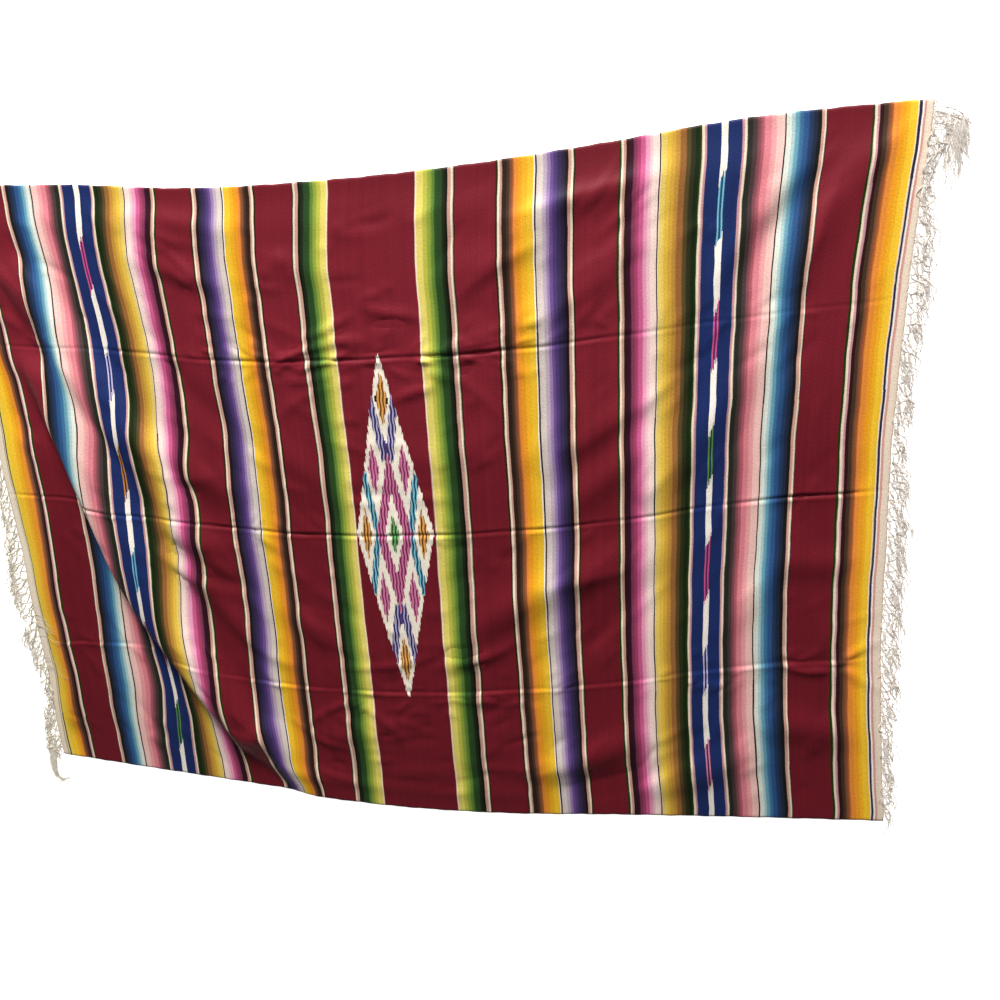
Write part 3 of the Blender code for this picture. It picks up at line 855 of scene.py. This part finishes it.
def shade_weave(g, u, v, colour, wear=1.0):
    """Colour variation, relief and roughness of the weft-faced weave."""
    pick = g.floor(g.over(u, PICK))
    # dye and spinning vary from pick to pick, and slowly along a pick
    per_pick = g.random(g.vector(pick, 3.7, 0.0))
    streaks = g.noise(g.vector(g.times(u, 420.0), g.times(v, 3.0), 0.0), 1.0, 1.0, 0.6)
    abrash = g.noise(g.vector(g.times(u, 75.0), g.times(v, 1.6), 4.0), 1.0, 1.0, 0.5)
    cloud = g.noise(g.vector(g.times(u, 9.0), g.times(v, 9.0), 9.0), 1.0, 1.0, 0.55)
    fuzz = g.noise(g.vector(g.times(u, 1000.0), g.times(v, 1000.0), 0.0), 1.0, 1.0, 0.6)
    tone = g.plus(1.0, g.times(g.minus(per_pick, 0.5), 0.06))
    tone = g.plus(tone, g.times(g.minus(streaks, 0.5), 0.16))
    tone = g.plus(tone, g.times(g.minus(abrash, 0.5), 0.26))
    tone = g.plus(tone, g.times(g.minus(cloud, 0.5), 0.14))
    tone = g.plus(tone, g.times(g.minus(fuzz, 0.5), 0.20))
    # slubs, where the hand-spun yarn is thicker
    slub = g.noise(g.vector(g.times(u, 400.0), g.times(v, 230.0), 12.0), 1.0, 1.0, 0.6)
    tone = g.plus(tone, g.times(g.minus(slub, 0.5), 0.62))
    # the furrows between warp ends hold a little shade
    bent = g.noise(g.vector(g.times(u, 12.0), g.times(v, 60.0), 5.0), 1.0, 1.0, 0.5)
    phase = g.plus(g.times(v, 2 * math.pi / WARP), g.times(bent, 9.0))
    rib = g.math('COSINE', phase)
    tone = g.plus(tone, g.times(rib, 0.010))
    colour = g.mix(1.0, colour, g.gray(tone), blend='MULTIPLY')
    # relief: ribs of the warp, and the picks that ride over them in turn
    turn = g.times(g.math('FLOORED_MODULO', pick, 2.0), math.pi)
    bead = g.math('COSINE', g.plus(g.times(v, math.pi / WARP * 1.0), turn))
    thread = g.size(g.math('SINE', g.times(u, math.pi / PICK)))
    height = g.plus(g.times(rib, 0.10), g.times(g.times(thread, g.plus(1.0, g.times(g.size(bead), 0.6))), 0.35))
    height = g.plus(height, g.times(fuzz, 0.45))
    height = g.plus(height, g.times(g.plus(streaks, slub), 0.35))
    return colour, height, fuzz


def principled(g, colour, rough, height, distance, strength, sheen, sheen_rough, tint, specular):
    shader = g.add("ShaderNodeBsdfPrincipled")
    g.put(shader, "Base Color", colour)
    g.put(shader, "Roughness", rough)
    shader.inputs["Metallic"].default_value = 0.0
    shader.inputs["Specular IOR Level"].default_value = specular
    shader.inputs["Sheen Weight"].default_value = sheen
    shader.inputs["Sheen Roughness"].default_value = sheen_rough
    shader.inputs["Sheen Tint"].default_value = (*tint, 1)
    if height is not None:
        b = g.add("ShaderNodeBump")
        b.inputs["Strength"].default_value = strength
        b.inputs["Distance"].default_value = distance
        g.put(b, "Height", height)
        g.tree.links.new(b.outputs[0], shader.inputs["Normal"])
    out = g.add("ShaderNodeOutputMaterial")
    g.tree.links.new(shader.outputs[0], out.inputs[0])
    return shader


def woven_material():
    mat = bpy.data.materials.new("striped_wool_weave")
    g = Nodes(mat)
    u, v, _ = g.split(g.uv("weave"))
    # the fell of the cloth isn't quite straight: stripes wander a little
    drift = g.minus(g.noise(g.vector(g.times(u, 2.0), g.times(v, 8.0), 1.5), 1.0, 1.0, 0.5), 0.5)
    flutter = g.minus(g.noise(g.vector(g.times(u, 60.0), g.times(v, 46.0), 7.5), 1.0, 1.0, 0.5), 0.5)
    us = g.plus(u, g.plus(g.times(drift, 0.0030), g.times(flutter, 0.0010)))
    # single picks of the next yarn are beaten in before the stripe changes
    early = g.minus(g.random(g.vector(g.floor(g.over(u, PICK)), g.floor(g.times(v, 5.0)), 0.0)), 0.5)
    a = g.plus(g.size(us), g.times(early, 0.0012))
    colour = stripe_colour(g, a, STRIPES, 1.075)
    # left end
    left = g.both(g.more(a, LEFT_END[0].start), g.less(us, 0.0))
    span = 1.075 - LEFT_END[0].start
    left_col = g.ramp(g.over(g.minus(a, LEFT_END[0].start), span), stops_of(LEFT_END, LEFT_END[0].start, 1.075), 'LINEAR')
    colour = g.mix(left, colour, left_col)

    # tie-dyed streaks in the blue bands
    c = g.minus(us, g.times(g.math('SIGN', us), STREAK_MID))
    steps = g.floor(g.over(c, 0.0032))
    frayed = g.times(g.minus(g.random(g.vector(g.floor(g.over(c, 0.0011)), g.floor(g.over(v, 0.06)), 0.0)), 0.5), 0.014)
    slant = g.plus(g.plus(g.times(steps, 0.0085), g.times(c, -0.0)), frayed)
    s = g.minus(v, slant)
    low, high = -.800, .800
    fac = g.span(s, low, high)
    sides = []
    for rows in (STREAK_RIGHT, STREAK_LEFT):
        light, dark, whole = streak_colour(g, s, rows)
        sides.append((g.ramp(fac, light), g.ramp(fac, dark), g.ramp(fac, whole)))
    is_left = g.less(us, 0.0)
    light = g.mix(is_left, sides[0][0], sides[1][0])
    dark = g.mix(is_left, sides[0][1], sides[1][1])
    whole = g.mix(is_left, sides[0][2], sides[1][2])
    breathe = g.noise(g.vector(g.times(v, 16.0), is_left, 2.0), 1.0, 1.0, 0.5)
    half = g.plus(0.0058, g.times(g.minus(breathe, 0.5), 0.0030))
    core = g.less(g.size(c), half)
    lines = g.either(g.near(c, -0.0036, 0.0014), g.near(c, 0.0030, 0.0014))
    dark_lines = g.either(g.near(c, -0.0008, 0.0012), g.near(c, 0.0056, 0.0010))
    blue = yarn("royal")
    thin = g.mix(g.both(core, dark_lines), blue, dark)
    thin = g.mix(lines, thin, light)
    solid = g.mix(core, blue, light)
    streak = g.mix(whole, thin, solid)
    colour = g.mix(g.less(g.size(c), 0.0085), colour, streak)

    # diamond
    dia, inside = diamond(g, us, v)
    colour = g.mix(inside, colour, dia)

    # painted light: towards both ends the colour is made up to a sixth lighter, where they got more light
    painted_end_light = g.plus(1.0, g.plus(g.span(us, .93, 1.0, 0, .16), g.span(us, -.93, -1.0, 0, .16)))
    colour = g.mix(1.0, colour, g.gray(painted_end_light), blend='MULTIPLY')

    # painted sheen: over the far part of the cloth the maroon is mixed a little towards a lighter red, where the light
    # from the far side gives it a sheen
    red, green, _ = g.split(colour)
    maroon = g.both(g.less(green, 0.0150), g.more(red, 0.10))
    painted_sheen = g.times(g.both(g.span(v, .08, .34), g.span(v, .76, .56)), 0.11)
    # the lighter red of the painted sheen
    colour = g.mix(g.both(maroon, painted_sheen), colour, (0.40, 0.035, 0.062))

    colour, height, fuzz = shade_weave(g, u, v, colour)
    # firm edge: the outer ends of warp are doubled
    edge = g.span(g.size(v), HALF_W - 0.006, HALF_W - 0.001)
    height = g.plus(height, g.times(edge, 0.8))
    colour = g.mix(g.times(edge, 0.18), colour, srgb(70, 30, 34))
    rough = g.plus(0.44, g.times(fuzz, 0.16))
    principled(g, colour, rough, height, 0.00040, 0.55, 0.0, 0.45, (1.0, 1.0, 1.0), 0.10)
    return mat


def cotton_material(name, tones, tone=1.0):
    mat = bpy.data.materials.new(name)
    g = Nodes(mat)
    coords = g.add("ShaderNodeTexCoord").outputs["Object"]
    cloud = g.noise(coords, 70.0, 1.0, 0.6)
    fibre = g.noise(coords, 1600.0, 1.0, 0.7)
    base = g.ramp(cloud, [(at, [min(c * tone, 0.95) for c in srgb(*t)]) for at, t in zip((0.30, 0.50, 0.72), tones)], 'LINEAR')
    shadow = g.span(fibre, 0.25, 0.75, 0.88, 1.04)
    colour = g.mix(1.0, base, g.gray(shadow), blend='MULTIPLY')
    rough = g.span(fibre, 0.2, 0.8, 0.80, 0.96)
    # painted light: the colour is halved and the same colour glows at 0.31, a painted glow that stands in for light
    # coming through the loose fibres and lifts their shaded sides
    solid = g.mix(1.0, colour, g.gray(0.56), blend='MULTIPLY')
    shader = principled(g, solid, rough, fibre, 0.0003, 0.3, 0.0, 0.5, (1.0, 1.0, 1.0), 0.1)
    # painted glow: the fibres give off light of their own colour
    g.put(shader, "Emission Color", colour)
    shader.inputs["Emission Strength"].default_value = 0.31
    mat.cycles.emission_sampling = 'NONE'
    return mat


wool = woven_material()
cotton_right = cotton_material("natural_cotton", ((213, 201, 189), (228, 218, 207), (240, 233, 225)), 1.0)
# painted shade: the left fringe gets a darker, greyer copy of the same cotton, as the left end gets less light
cotton_left = cotton_material("natural_cotton_shaded", ((200, 188, 168), (217, 208, 190), (233, 226, 211)), 1.0)


# ================================================================ cloth
def spaced(marks):
    """Stations through (place, spacing) marks, the spacing changing smoothly."""
    at = np.array([m[0] for m in marks], float)
    gap = np.array([m[1] for m in marks], float)
    fine = np.linspace(at[0], at[-1], 20001)
    density = 1 / np.interp(fine, at, gap)
    total = np.concatenate([[0], np.cumsum((density[1:] + density[:-1]) / 2 * np.diff(fine))])
    n = int(round(total[-1]))
    return np.interp(np.linspace(0, total[-1], n + 1), total, fine)


def row_marks():
    marks = [(-HALF_W, .0040), (-HALF_W + .02, .0070)]
    for c in (-.3725, 0.0, .3725):
        marks += [(c - .035, .0078), (c - .012, .0022), (c + .012, .0022), (c + .035, .0078)]
    marks += [(HALF_W - .02, .0070), (HALF_W, .0040)]
    return marks


COLS = spaced([(-LEFT_L, .0046), (-.98, .0048), (-.90, .0040), (-.40, .0045), (-.25, .0062), (RIGHT_L - .05, .0066), (RIGHT_L, .0044)])
ROWS = spaced(row_marks())


def make_cloth():
    """One closed shell: a fine upper side, a coarser underside, a rim."""
    U, V = np.meshgrid(COLS, ROWS)
    low = place(U, V)
    # the wall is measured square to the cloth
    du = np.gradient(low, axis=1)
    dv = np.gradient(low, axis=0)
    n = np.cross(du, dv)
    n /= np.linalg.norm(n, axis=-1, keepdims=True) + 1e-12
    n[..., 2] = np.abs(n[..., 2])
    thick = WALL * (0.60 + 0.40 * rise(np.minimum(HALF_W - np.abs(V), to_end(U)) / 0.004))
    top = low + n * thick[..., None]
    rows, cols = U.shape
    verts = top.reshape(-1, 3).tolist()
    idx = lambda r, c: r * cols + c
    faces = []
    uvs = {}
    for r in range(rows - 1):
        for c in range(cols - 1):
            faces.append((idx(r, c), idx(r, c + 1), idx(r + 1, c + 1), idx(r + 1, c)))
    # underside: every k-th row and column, always with the border ones
    def thin_out(n, k):
        keep = list(range(0, n, k))
        if keep[-1] != n - 1:
            keep.append(n - 1)
        return keep
    kr, kc = thin_out(rows, 5), thin_out(cols, 5)
    base = len(verts)
    under = {}
    def under_vert(r, c):
        if (r, c) not in under:
            under[(r, c)] = base + len(under)
            verts.append(low[r, c].tolist())
            under_uv.append((U[r, c], V[r, c]))
        return under[(r, c)]
    under_uv = []
    for i in range(len(kr) - 1):
        for j in range(len(kc) - 1):
            r0, r1, c0, c1 = kr[i], kr[i + 1], kc[j], kc[j + 1]
            loop = [(r0, c0)]
            # n-gon sides keep every border vertex, so the shell stays closed
            left = [(r, c0) for r in range(r0 + 1, r1)] if c0 == 0 else []
            right = [(r, c1) for r in range(r1 - 1, r0, -1)] if c1 == cols - 1 else []
            bottom = [(r0, c) for c in range(c1 - 1, c0, -1)] if r0 == 0 else []
            toprow = [(r1, c) for c in range(c0 + 1, c1)] if r1 == rows - 1 else []
            loop = [(r0, c0)] + left + [(r1, c0)] + toprow + [(r1, c1)] + right + [(r0, c1)] + bottom
            faces.append(tuple(under_vert(r, c) for r, c in loop))
    rim = [(0, c) for c in range(cols)] + [(r, cols - 1) for r in range(1, rows)]
    rim += [(rows - 1, c) for c in range(cols - 2, -1, -1)] + [(r, 0) for r in range(rows - 2, 0, -1)]
    for k in range(len(rim)):
        a, b = rim[k], rim[(k + 1) % len(rim)]
        faces.append((idx(*a), under_vert(*a), under_vert(*b), idx(*b)))
    ob = new_object("cloth_woven", verts, faces, wool)
    mesh = ob.data
    uv = np.concatenate([np.stack([U, V], -1).reshape(-1, 2), np.array(under_uv).reshape(-1, 2)])
    woven = uv - np.stack([0.001 * chart(uv[:, 0], uv[:, 1], DRIFTS, DRIFT_HEIGHTS), 0 * uv[:, 0]], -1)
    loops = np.empty(len(mesh.loops), np.int32)
    mesh.loops.foreach_get("vertex_index", loops)
    weave = mesh.uv_layers.new(name="weave")
    weave.uv.foreach_set("vector", woven[loops].astype(np.float32).ravel())
    flat = mesh.uv_layers.new(name="OFBake")
    fitted = ((uv + (LEFT_L, HALF_W)) / (WOVEN_LENGTH, WOVEN_WIDTH)) * 0.996 + 0.002
    flat.uv.foreach_set("vector", fitted[loops].astype(np.float32).ravel())
    mesh.uv_layers.active = mesh.uv_layers["weave"]
    mesh.uv_layers["weave"].active_render = True
    return ob


cloth = make_cloth()


# ================================================================ fringe
rng = np.random.default_rng(7)


class Tubes:
    """Collects round strands into one mesh."""

    def __init__(self):
        self.verts, self.faces = [], []

    def strand(self, pts, radius, sides=5, taper=1.0):
        pts = np.asarray(pts, float)
        n = len(pts)
        d = np.gradient(pts, axis=0)
        d /= np.linalg.norm(d, axis=1, keepdims=True) + 1e-9
        up = np.array([0, 0, 1.0])
        side = np.cross(d, up)
        side /= np.linalg.norm(side, axis=1, keepdims=True) + 1e-9
        nor = np.cross(side, d)
        r = radius * np.linspace(1, taper, n)
        ang = np.arange(sides) * 2 * np.pi / sides
        ring = (pts[:, None] + r[:, None, None] * (np.cos(ang)[None, :, None] * side[:, None]
                                                   + np.sin(ang)[None, :, None] * nor[:, None]))
        base = len(self.verts)
        self.verts += ring.reshape(-1, 3).tolist()
        for i in range(n - 1):
            for k in range(sides):
                a, b = base + i * sides + k, base + i * sides + (k + 1) % sides
                self.faces.append((a, b, b + sides, a + sides))
        self.faces.append(tuple(base + k for k in reversed(range(sides))))
        self.faces.append(tuple(base + (n - 1) * sides + k for k in range(sides)))

    def knot(self, p, size, rings=4, sides=7):
        p = np.asarray(p, float)
        base = len(self.verts)
        turn = rng.uniform(0, 6.28)
        for i in range(rings + 1):
            th = np.pi * i / rings
            for k in range(sides):
                ph = 2 * np.pi * k / sides + turn
                lump = 1 + 0.16 * math.sin(3 * ph + 2 * th)
                q = np.array([math.sin(th) * math.cos(ph), math.sin(th) * math.sin(ph), math.cos(th) * 0.85]) * size * lump
                if i in (0, rings) and k:
                    continue
                self.verts.append((p + q).tolist())
        top, bottom = base, base + 1 + (rings - 1) * sides
        ringv = lambda i, k: base + 1 + (i - 1) * sides + k % sides
        for k in range(sides):
            self.faces.append((top, ringv(1, k), ringv(1, k + 1)))
            self.faces.append((bottom, ringv(rings - 1, k + 1), ringv(rings - 1, k)))
            for i in range(1, rings - 1):
                self.faces.append((ringv(i, k), ringv(i + 1, k), ringv(i + 1, k + 1), ringv(i, k + 1)))


def wavy(a, b, n, bow, wave, lift, phase):
    """A slack cord from a to b, bowed sideways and up."""
    a, b = np.asarray(a, float), np.asarray(b, float)
    t = np.linspace(0, 1, n)
    d = b - a
    side = np.array([-d[1], d[0], 0]) / (np.hypot(d[0], d[1]) + 1e-9)
    p = a + t[:, None] * d
    p += side * (bow * np.sin(np.pi * t) + wave * np.sin(2 * np.pi * t + phase) * np.sin(np.pi * t))[:, None]
    p[:, 2] += lift * np.sin(np.pi * t)
    return p


def end_table(side):
    """The woven end as a table: places along it, and the way that leads out."""
    v = np.linspace(-HALF_W, HALF_W, 1200)
    p = place(np.full(v.shape, END[side]), v)
    out = p - base_place(np.full(v.shape, END[side] - side * .03), v)
    out[:, 2] = 0
    out /= np.linalg.norm(out, axis=1, keepdims=True)
    return v, p, out


ENDS = {1: end_table(1), -1: end_table(-1)}


def end_line(side, v):
    """A point on the woven end and the direction that leads away from it."""
    at, p, out = ENDS[side]
    i = int(np.clip(round((v + HALF_W) / WOVEN_WIDTH * (len(at) - 1)), 0, len(at) - 1))
    return p[i].copy(), out[i].copy()


# How wide the knotted net is, in millimetres, down each end. Where it has
# parted it is only a few threads along the edge.
Net = namedtuple("Net", "v wide")
NET_RIGHT = [
    Net(.745, 26), Net(.70, 16), Net(.64, 9), Net(.57, 12), Net(.50, 22), Net(.42, 30), Net(.34, 28), Net(.27, 22),
    Net(.20, 26), Net(.12, 22), Net(.04, 26), Net(-.04, 30), Net(-.12, 28), Net(-.22, 30), Net(-.32, 30),
    Net(-.40, 28), Net(-.48, 22), Net(-.56, 16), Net(-.64, 18), Net(-.74, 10),
]
NET_LEFT = [
    Net(.745, 28), Net(.60, 30), Net(.45, 28), Net(.30, 26), Net(.15, 26), Net(.02, 24), Net(-.08, 32), Net(-.16, 46),
    Net(-.24, 50), Net(-.29, 34), Net(-.325, 20), Net(-.37, 36), Net(-.43, 34), Net(-.475, 14), Net(-.56, 11),
    Net(-.61, 26), Net(-.68, 34), Net(-.745, 28),
]

# Tufts of loose ends: place along the end, half width, length of the longest
# strands (mm), how far they swing outwards, how many there are, and how far
# past the woven edge they start (mm).
Tuft = namedtuple("Tuft", "v half length out count start")
TUFTS_RIGHT = [
    Tuft(.704, .012, 100, .04, 20, 40), Tuft(.698, .012, 128, -.08, 14, 34), Tuft(.702, .010, 80, .10, 15, 50), Tuft(.682, .012, 70, .20, 12, 42), Tuft(.655, .020, 44, .06, 5, 6),
    Tuft(.585, .020, 52, .10, 7, 9), Tuft(.525, .020, 60, .34, 8, 18), Tuft(.465, .024, 62, .16, 10, 22), Tuft(.400, .028, 70, .22, 14, 26),
    Tuft(.320, .026, 56, .26, 12, 22), Tuft(.240, .024, 50, .20, 10, 18), Tuft(.165, .024, 58, .26, 12, 22), Tuft(.085, .024, 52, .20, 10, 20),
    Tuft(.010, .026, 56, .26, 14, 24), Tuft(-.060, .026, 66, .30, 16, 26), Tuft(-.135, .026, 78, .24, 20, 26), Tuft(-.205, .026, 78, .20, 18, 26),
    Tuft(-.280, .026, 66, .18, 16, 26), Tuft(-.350, .026, 64, .22, 16, 24), Tuft(-.415, .022, 56, .24, 12, 22), Tuft(-.480, .024, 60, .12, 10, 16),
    Tuft(-.555, .024, 56, .10, 10, 12), Tuft(-.625, .022, 52, .10, 10, 12), Tuft(-.685, .014, 36, .08, 8, 8),
]
TUFTS_LEFT = [
    Tuft(.700, .026, 58, .40, 14, 22), Tuft(.620, .026, 52, .40, 12, 22), Tuft(.540, .026, 52, .36, 12, 22), Tuft(.460, .026, 52, .30, 12, 22),
    Tuft(.370, .026, 50, .30, 12, 20), Tuft(.280, .026, 48, .30, 12, 20), Tuft(.190, .026, 48, .28, 12, 20), Tuft(.100, .026, 46, .26, 12, 20),
    Tuft(.020, .024, 50, .24, 12, 20), Tuft(-.050, .024, 54, .22, 14, 22), Tuft(-.115, .022, 60, .20, 16, 30), Tuft(-.175, .020, 66, .22, 20, 38),
    Tuft(-.225, .016, 44, .26, 18, 40), Tuft(-.255, .014, 50, .10, 14, 32), Tuft(-.350, .018, 56, .18, 18, 30), Tuft(-.400, .016, 44, .24, 14, 24),
    Tuft(-.440, .012, 40, .10, 8, 14), Tuft(-.520, .020, 44, .06, 8, 8), Tuft(-.590, .016, 52, .24, 14, 22), Tuft(-.640, .018, 50, .20, 16, 26),
    Tuft(-.690, .016, 52, .16, 18, 24), Tuft(-.725, .012, 42, .10, 14, 18),
]


def make_fringe(side, widths, tufts):
    """The knotted net of warp ends, three knots deep, and the loose ends on it."""
    net, loose = Tubes(), Tubes()
    pitch = 0.0190
    count = int(WOVEN_WIDTH / pitch)
    heights = [r.v for r in widths]
    wide = [r.wide for r in widths]
    jit = rng.normal(0, 1, (4, count + 2, 3)).clip(-1.9, 1.9)

    def node(row, i):
        v = HALF_W - 0.006 - (i + 0.5 * (row % 2)) * pitch
        p, out = end_line(side, v)
        deep = float(curve(v, heights, wide)) * 0.001
        wob = jit[row][i] * (0.0, 0.0028, 0.0044, 0.0056)[row]
        q = p + out * ((0.0, 0.30, 0.62, 0.94)[row] * deep + 0.001) + np.array([wob[0], wob[1] - (0.0, 0.009, 0.019, 0.030)[row], 0])
        q[2] = 0.0020 + 0.0010 * row * abs(jit[row][i][2])
        return q

    nodes = [[node(row, i) for i in range(count - (row % 2))] for row in range(4)]
    for i in range(len(nodes[0])):
        net.knot(nodes[0][i] + [side * 0.001, 0, 0.0002], rng.uniform(0.0016, 0.0024))
    for row in range(3):
        for i, p in enumerate(nodes[row]):
            for j in ((i - 1, i) if row % 2 == 0 else (i, i + 1)):
                if not 0 <= j < len(nodes[row + 1]) or rng.random() < (0.03, 0.12, 0.30)[row]:
                    continue
                q = nodes[row + 1][j]
                slack = rng.normal(0, 0.0026) - side * 0.0010
                for k in range(2):
                    off = rng.normal(0, 0.0006, 3)
                    off[2] = abs(off[2])
                    net.strand(wavy(p, q + off, 8, slack + 0.0009 * (k - .5) + rng.normal(0, 0.0004), rng.normal(0, 0.0009), rng.uniform(0.0003, 0.0020), rng.uniform(0, 6)),
                               rng.uniform(0.00105, 0.00155), 5)
    for row in (1, 2, 3):
        for p in nodes[row]:
            if rng.random() < (1, .9, .7, .5)[row]:
                net.knot(p, rng.uniform(0.0019, 0.0030))

    def end_strand(p, length, share, radius, curl=1.0, sides=4):
        d = np.array([side * share, -1.0, 0]) + np.array([*rng.normal(0, 0.13, 2), 0])
        d /= np.linalg.norm(d)
        q = p + d * length
        n = 12
        pts = wavy(p, q, n, rng.normal(0, 0.0050) * curl, rng.normal(0, 0.0040) * curl, rng.uniform(0.0, 0.004), rng.uniform(0, 6))
        # strands end in a small curl
        t = np.linspace(0, 1, n)**3
        pts[:, :2] += t[:, None] * rng.normal(0, 0.0055, 2) * curl
        pts[:, 2] = np.maximum(pts[:, 2] * (1 - 0.6 * np.linspace(0, 1, n)), 0.0012)
        loose.strand(pts, radius, sides, 0.6)
        return pts

    # short ends all along, and loops that have slipped out of their knots
    for row in (2, 3):
        for i, p in enumerate(nodes[row]):
            for _ in range(1 + int(rng.random() < 0.5)):
                end_strand(p, rng.uniform(0.012, 0.040), rng.uniform(-0.1, 0.4), rng.uniform(0.0006, 0.0011))
            if row == 3 and i + 3 < len(nodes[3]) and rng.random() < 0.22:
                q = nodes[3][i + int(rng.integers(2, 4))]
                net.strand(wavy(p, q, 14, -side * rng.uniform(0.004, 0.012), rng.normal(0, 0.002), 0.002, rng.uniform(0, 6)), 0.0006, 4)
    for t in tufts:
        deep = t.start * 0.001
        for k in range(t.count):
            v = t.v + rng.normal(0, t.half * 0.5)
            p, out = end_line(side, v)
            p = p + out * max(deep + rng.normal(0, 0.0045), 0.002) + [0, 0, rng.uniform(0.0014, 0.0045)]
            length = t.length * 0.001
            end_strand(p, length * rng.uniform(0.45, 1.0), t.out + rng.normal(0, 0.08), rng.uniform(0.00085, 0.00130))
            if k % 2:
                end_strand(p, length * rng.uniform(0.6, 1.15), t.out + rng.normal(0, 0.18), rng.uniform(0.00028, 0.00045), 1.5)
            if k % 3 == 0:
                # a cord that ties the tuft back to the edge
                a, _ = end_line(side, v + rng.uniform(0.004, 0.026))
                net.strand(wavy(a + [0, 0, 0.002], p, 9, rng.normal(0, 0.003), rng.normal(0, 0.0015), 0.002, rng.uniform(0, 6)), rng.uniform(0.0006, 0.0009), 4)
    return net, loose


def finish_tubes(name, parts, cotton):
    verts, faces = [], []
    for t in parts:
        base = len(verts)
        verts += t.verts
        faces += [tuple(i + base for i in f) for f in t.faces]
    return new_object(name, verts, faces, cotton)


net_r, loose_r = make_fringe(1, NET_RIGHT, TUFTS_RIGHT)
net_l, loose_l = make_fringe(-1, NET_LEFT, TUFTS_LEFT)

# the tail at the near left corner, which hangs past the cloth and curls
corner = place(np.array([-LEFT_L]), np.array([-HALF_W]))[0]
for k in range(46):
    start = corner + np.array([-0.026 + rng.normal(0, .011), 0.020 + rng.normal(0, .012), 0.002])
    spread = rng.normal(0, 1, 4).clip(-1.8, 1.8)
    path = np.array([
        start,
        corner + [-0.034 + .0060 * spread[0], -0.020, 0.005],
        corner + [-0.036 + .0048 * spread[0], -0.050 + .003 * spread[1], 0.005],
        corner + [-0.031 + .0034 * spread[0], -0.072 + .004 * spread[1], 0.004],
        corner + [-0.018 + .0040 * spread[2], -0.083 + .0028 * spread[1], 0.002],
        corner + [0.000 + .007 * spread[2], -0.075 + .004 * spread[3], 0.001],
    ])
    if k > 13:
        path = path[:3 + k % 3]
    t = np.linspace(0, 1, len(path))
    tt = np.linspace(0, 1, 16)
    pts = np.stack([curve(tt, t, path[:, j]) for j in range(3)], -1)
    pts[:, 2] = np.maximum(pts[:, 2], 0.001)
    loose_l.strand(pts, rng.uniform(0.0008, 0.0013), 5, 0.45)

# frayed threads that lie over the edge of the cloth at the left end
for v0, n in ((-.335, 9), (-.445, 6), (-.30, 4)):
    for k in range(n):
        v = v0 + rng.normal(0, .012)
        us = np.linspace(-LEFT_L + .002, -LEFT_L + rng.uniform(.03, .075), 9)
        vv = v - (us + LEFT_L) * rng.uniform(0.1, 0.7) + 0.004 * np.sin(np.linspace(0, rng.uniform(3, 7), 9))
        pts = place(us, vv)
        pts[:, 2] += WALL + 0.0012
        loose_l.strand(pts, 0.00030, 4, 0.6)

fringe_right = finish_tubes("fringe_right_knotted", [net_r, loose_r], cotton_right)
fringe_left = finish_tubes("fringe_left_knotted", [net_l, loose_l], cotton_left)

# ================================================================ frame
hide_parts("cloth")
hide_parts("fringe_right")
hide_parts("fringe_left")
for piece, slot in ((cloth, "woven_cloth"), (fringe_right, "fringe"), (fringe_left, "fringe")):
    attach(piece, "root")

# ================================================================ floor
def make_floor():
    mat = bpy.data.materials.new("pale_floor")
    g = Nodes(mat)
    coords = g.add("ShaderNodeTexCoord").outputs["Object"]
    tone = g.span(g.noise(coords, 3.0, 2.0, 0.5), 0.3, 0.7, 0.93, 0.95)
    shader = principled(g, g.gray(tone), 0.9, None, 0, 0, 0.0, 0.5, (1, 1, 1), 0.1)
    shader.inputs["Emission Color"].default_value = (1, 1, 1, 1)
    shader.inputs["Emission Strength"].default_value = 0.92
    mat.cycles.emission_sampling = 'NONE'
    s = 6.0
    ob = new_object("floor", [(-s, -s, -.0006), (s, -s, -.0006), (s, s, -.0006), (-s, s, -.0006)], [(0, 1, 2, 3)], mat, smooth=False)
    return ob


floor = make_floor()

# ================================================================ light
scene = bpy.context.scene
scene.view_settings.view_transform = 'Standard'
scene.view_settings.look = 'None'
scene.view_settings.exposure = 0.0
scene.view_settings.gamma = 1.0

world = bpy.data.worlds.new("studio")
scene.world = world
world.use_nodes = True
world.node_tree.nodes["Background"].inputs[0].default_value = (1, 1, 1, 1)
world.node_tree.nodes["Background"].inputs[1].default_value = 0.19


def area(name, loc, target, size, power, colour=(1, 1, 1)):
    data = bpy.data.lights.new(name, 'AREA')
    data.shape = 'SQUARE'
    data.size = size
    data.energy = power
    data.color = colour
    ob = bpy.data.objects.new(name, data)
    ob.location = loc
    ob.rotation_euler = (Vector(target) - Vector(loc)).to_track_quat('-Z', 'Y').to_euler()
    scene.collection.objects.link(ob)
    return ob


area("key", (-0.10, 5.40, 2.25), (0.0, 0.0, 0.0), 1.65, 790.0, (1.0, 0.985, 0.97))
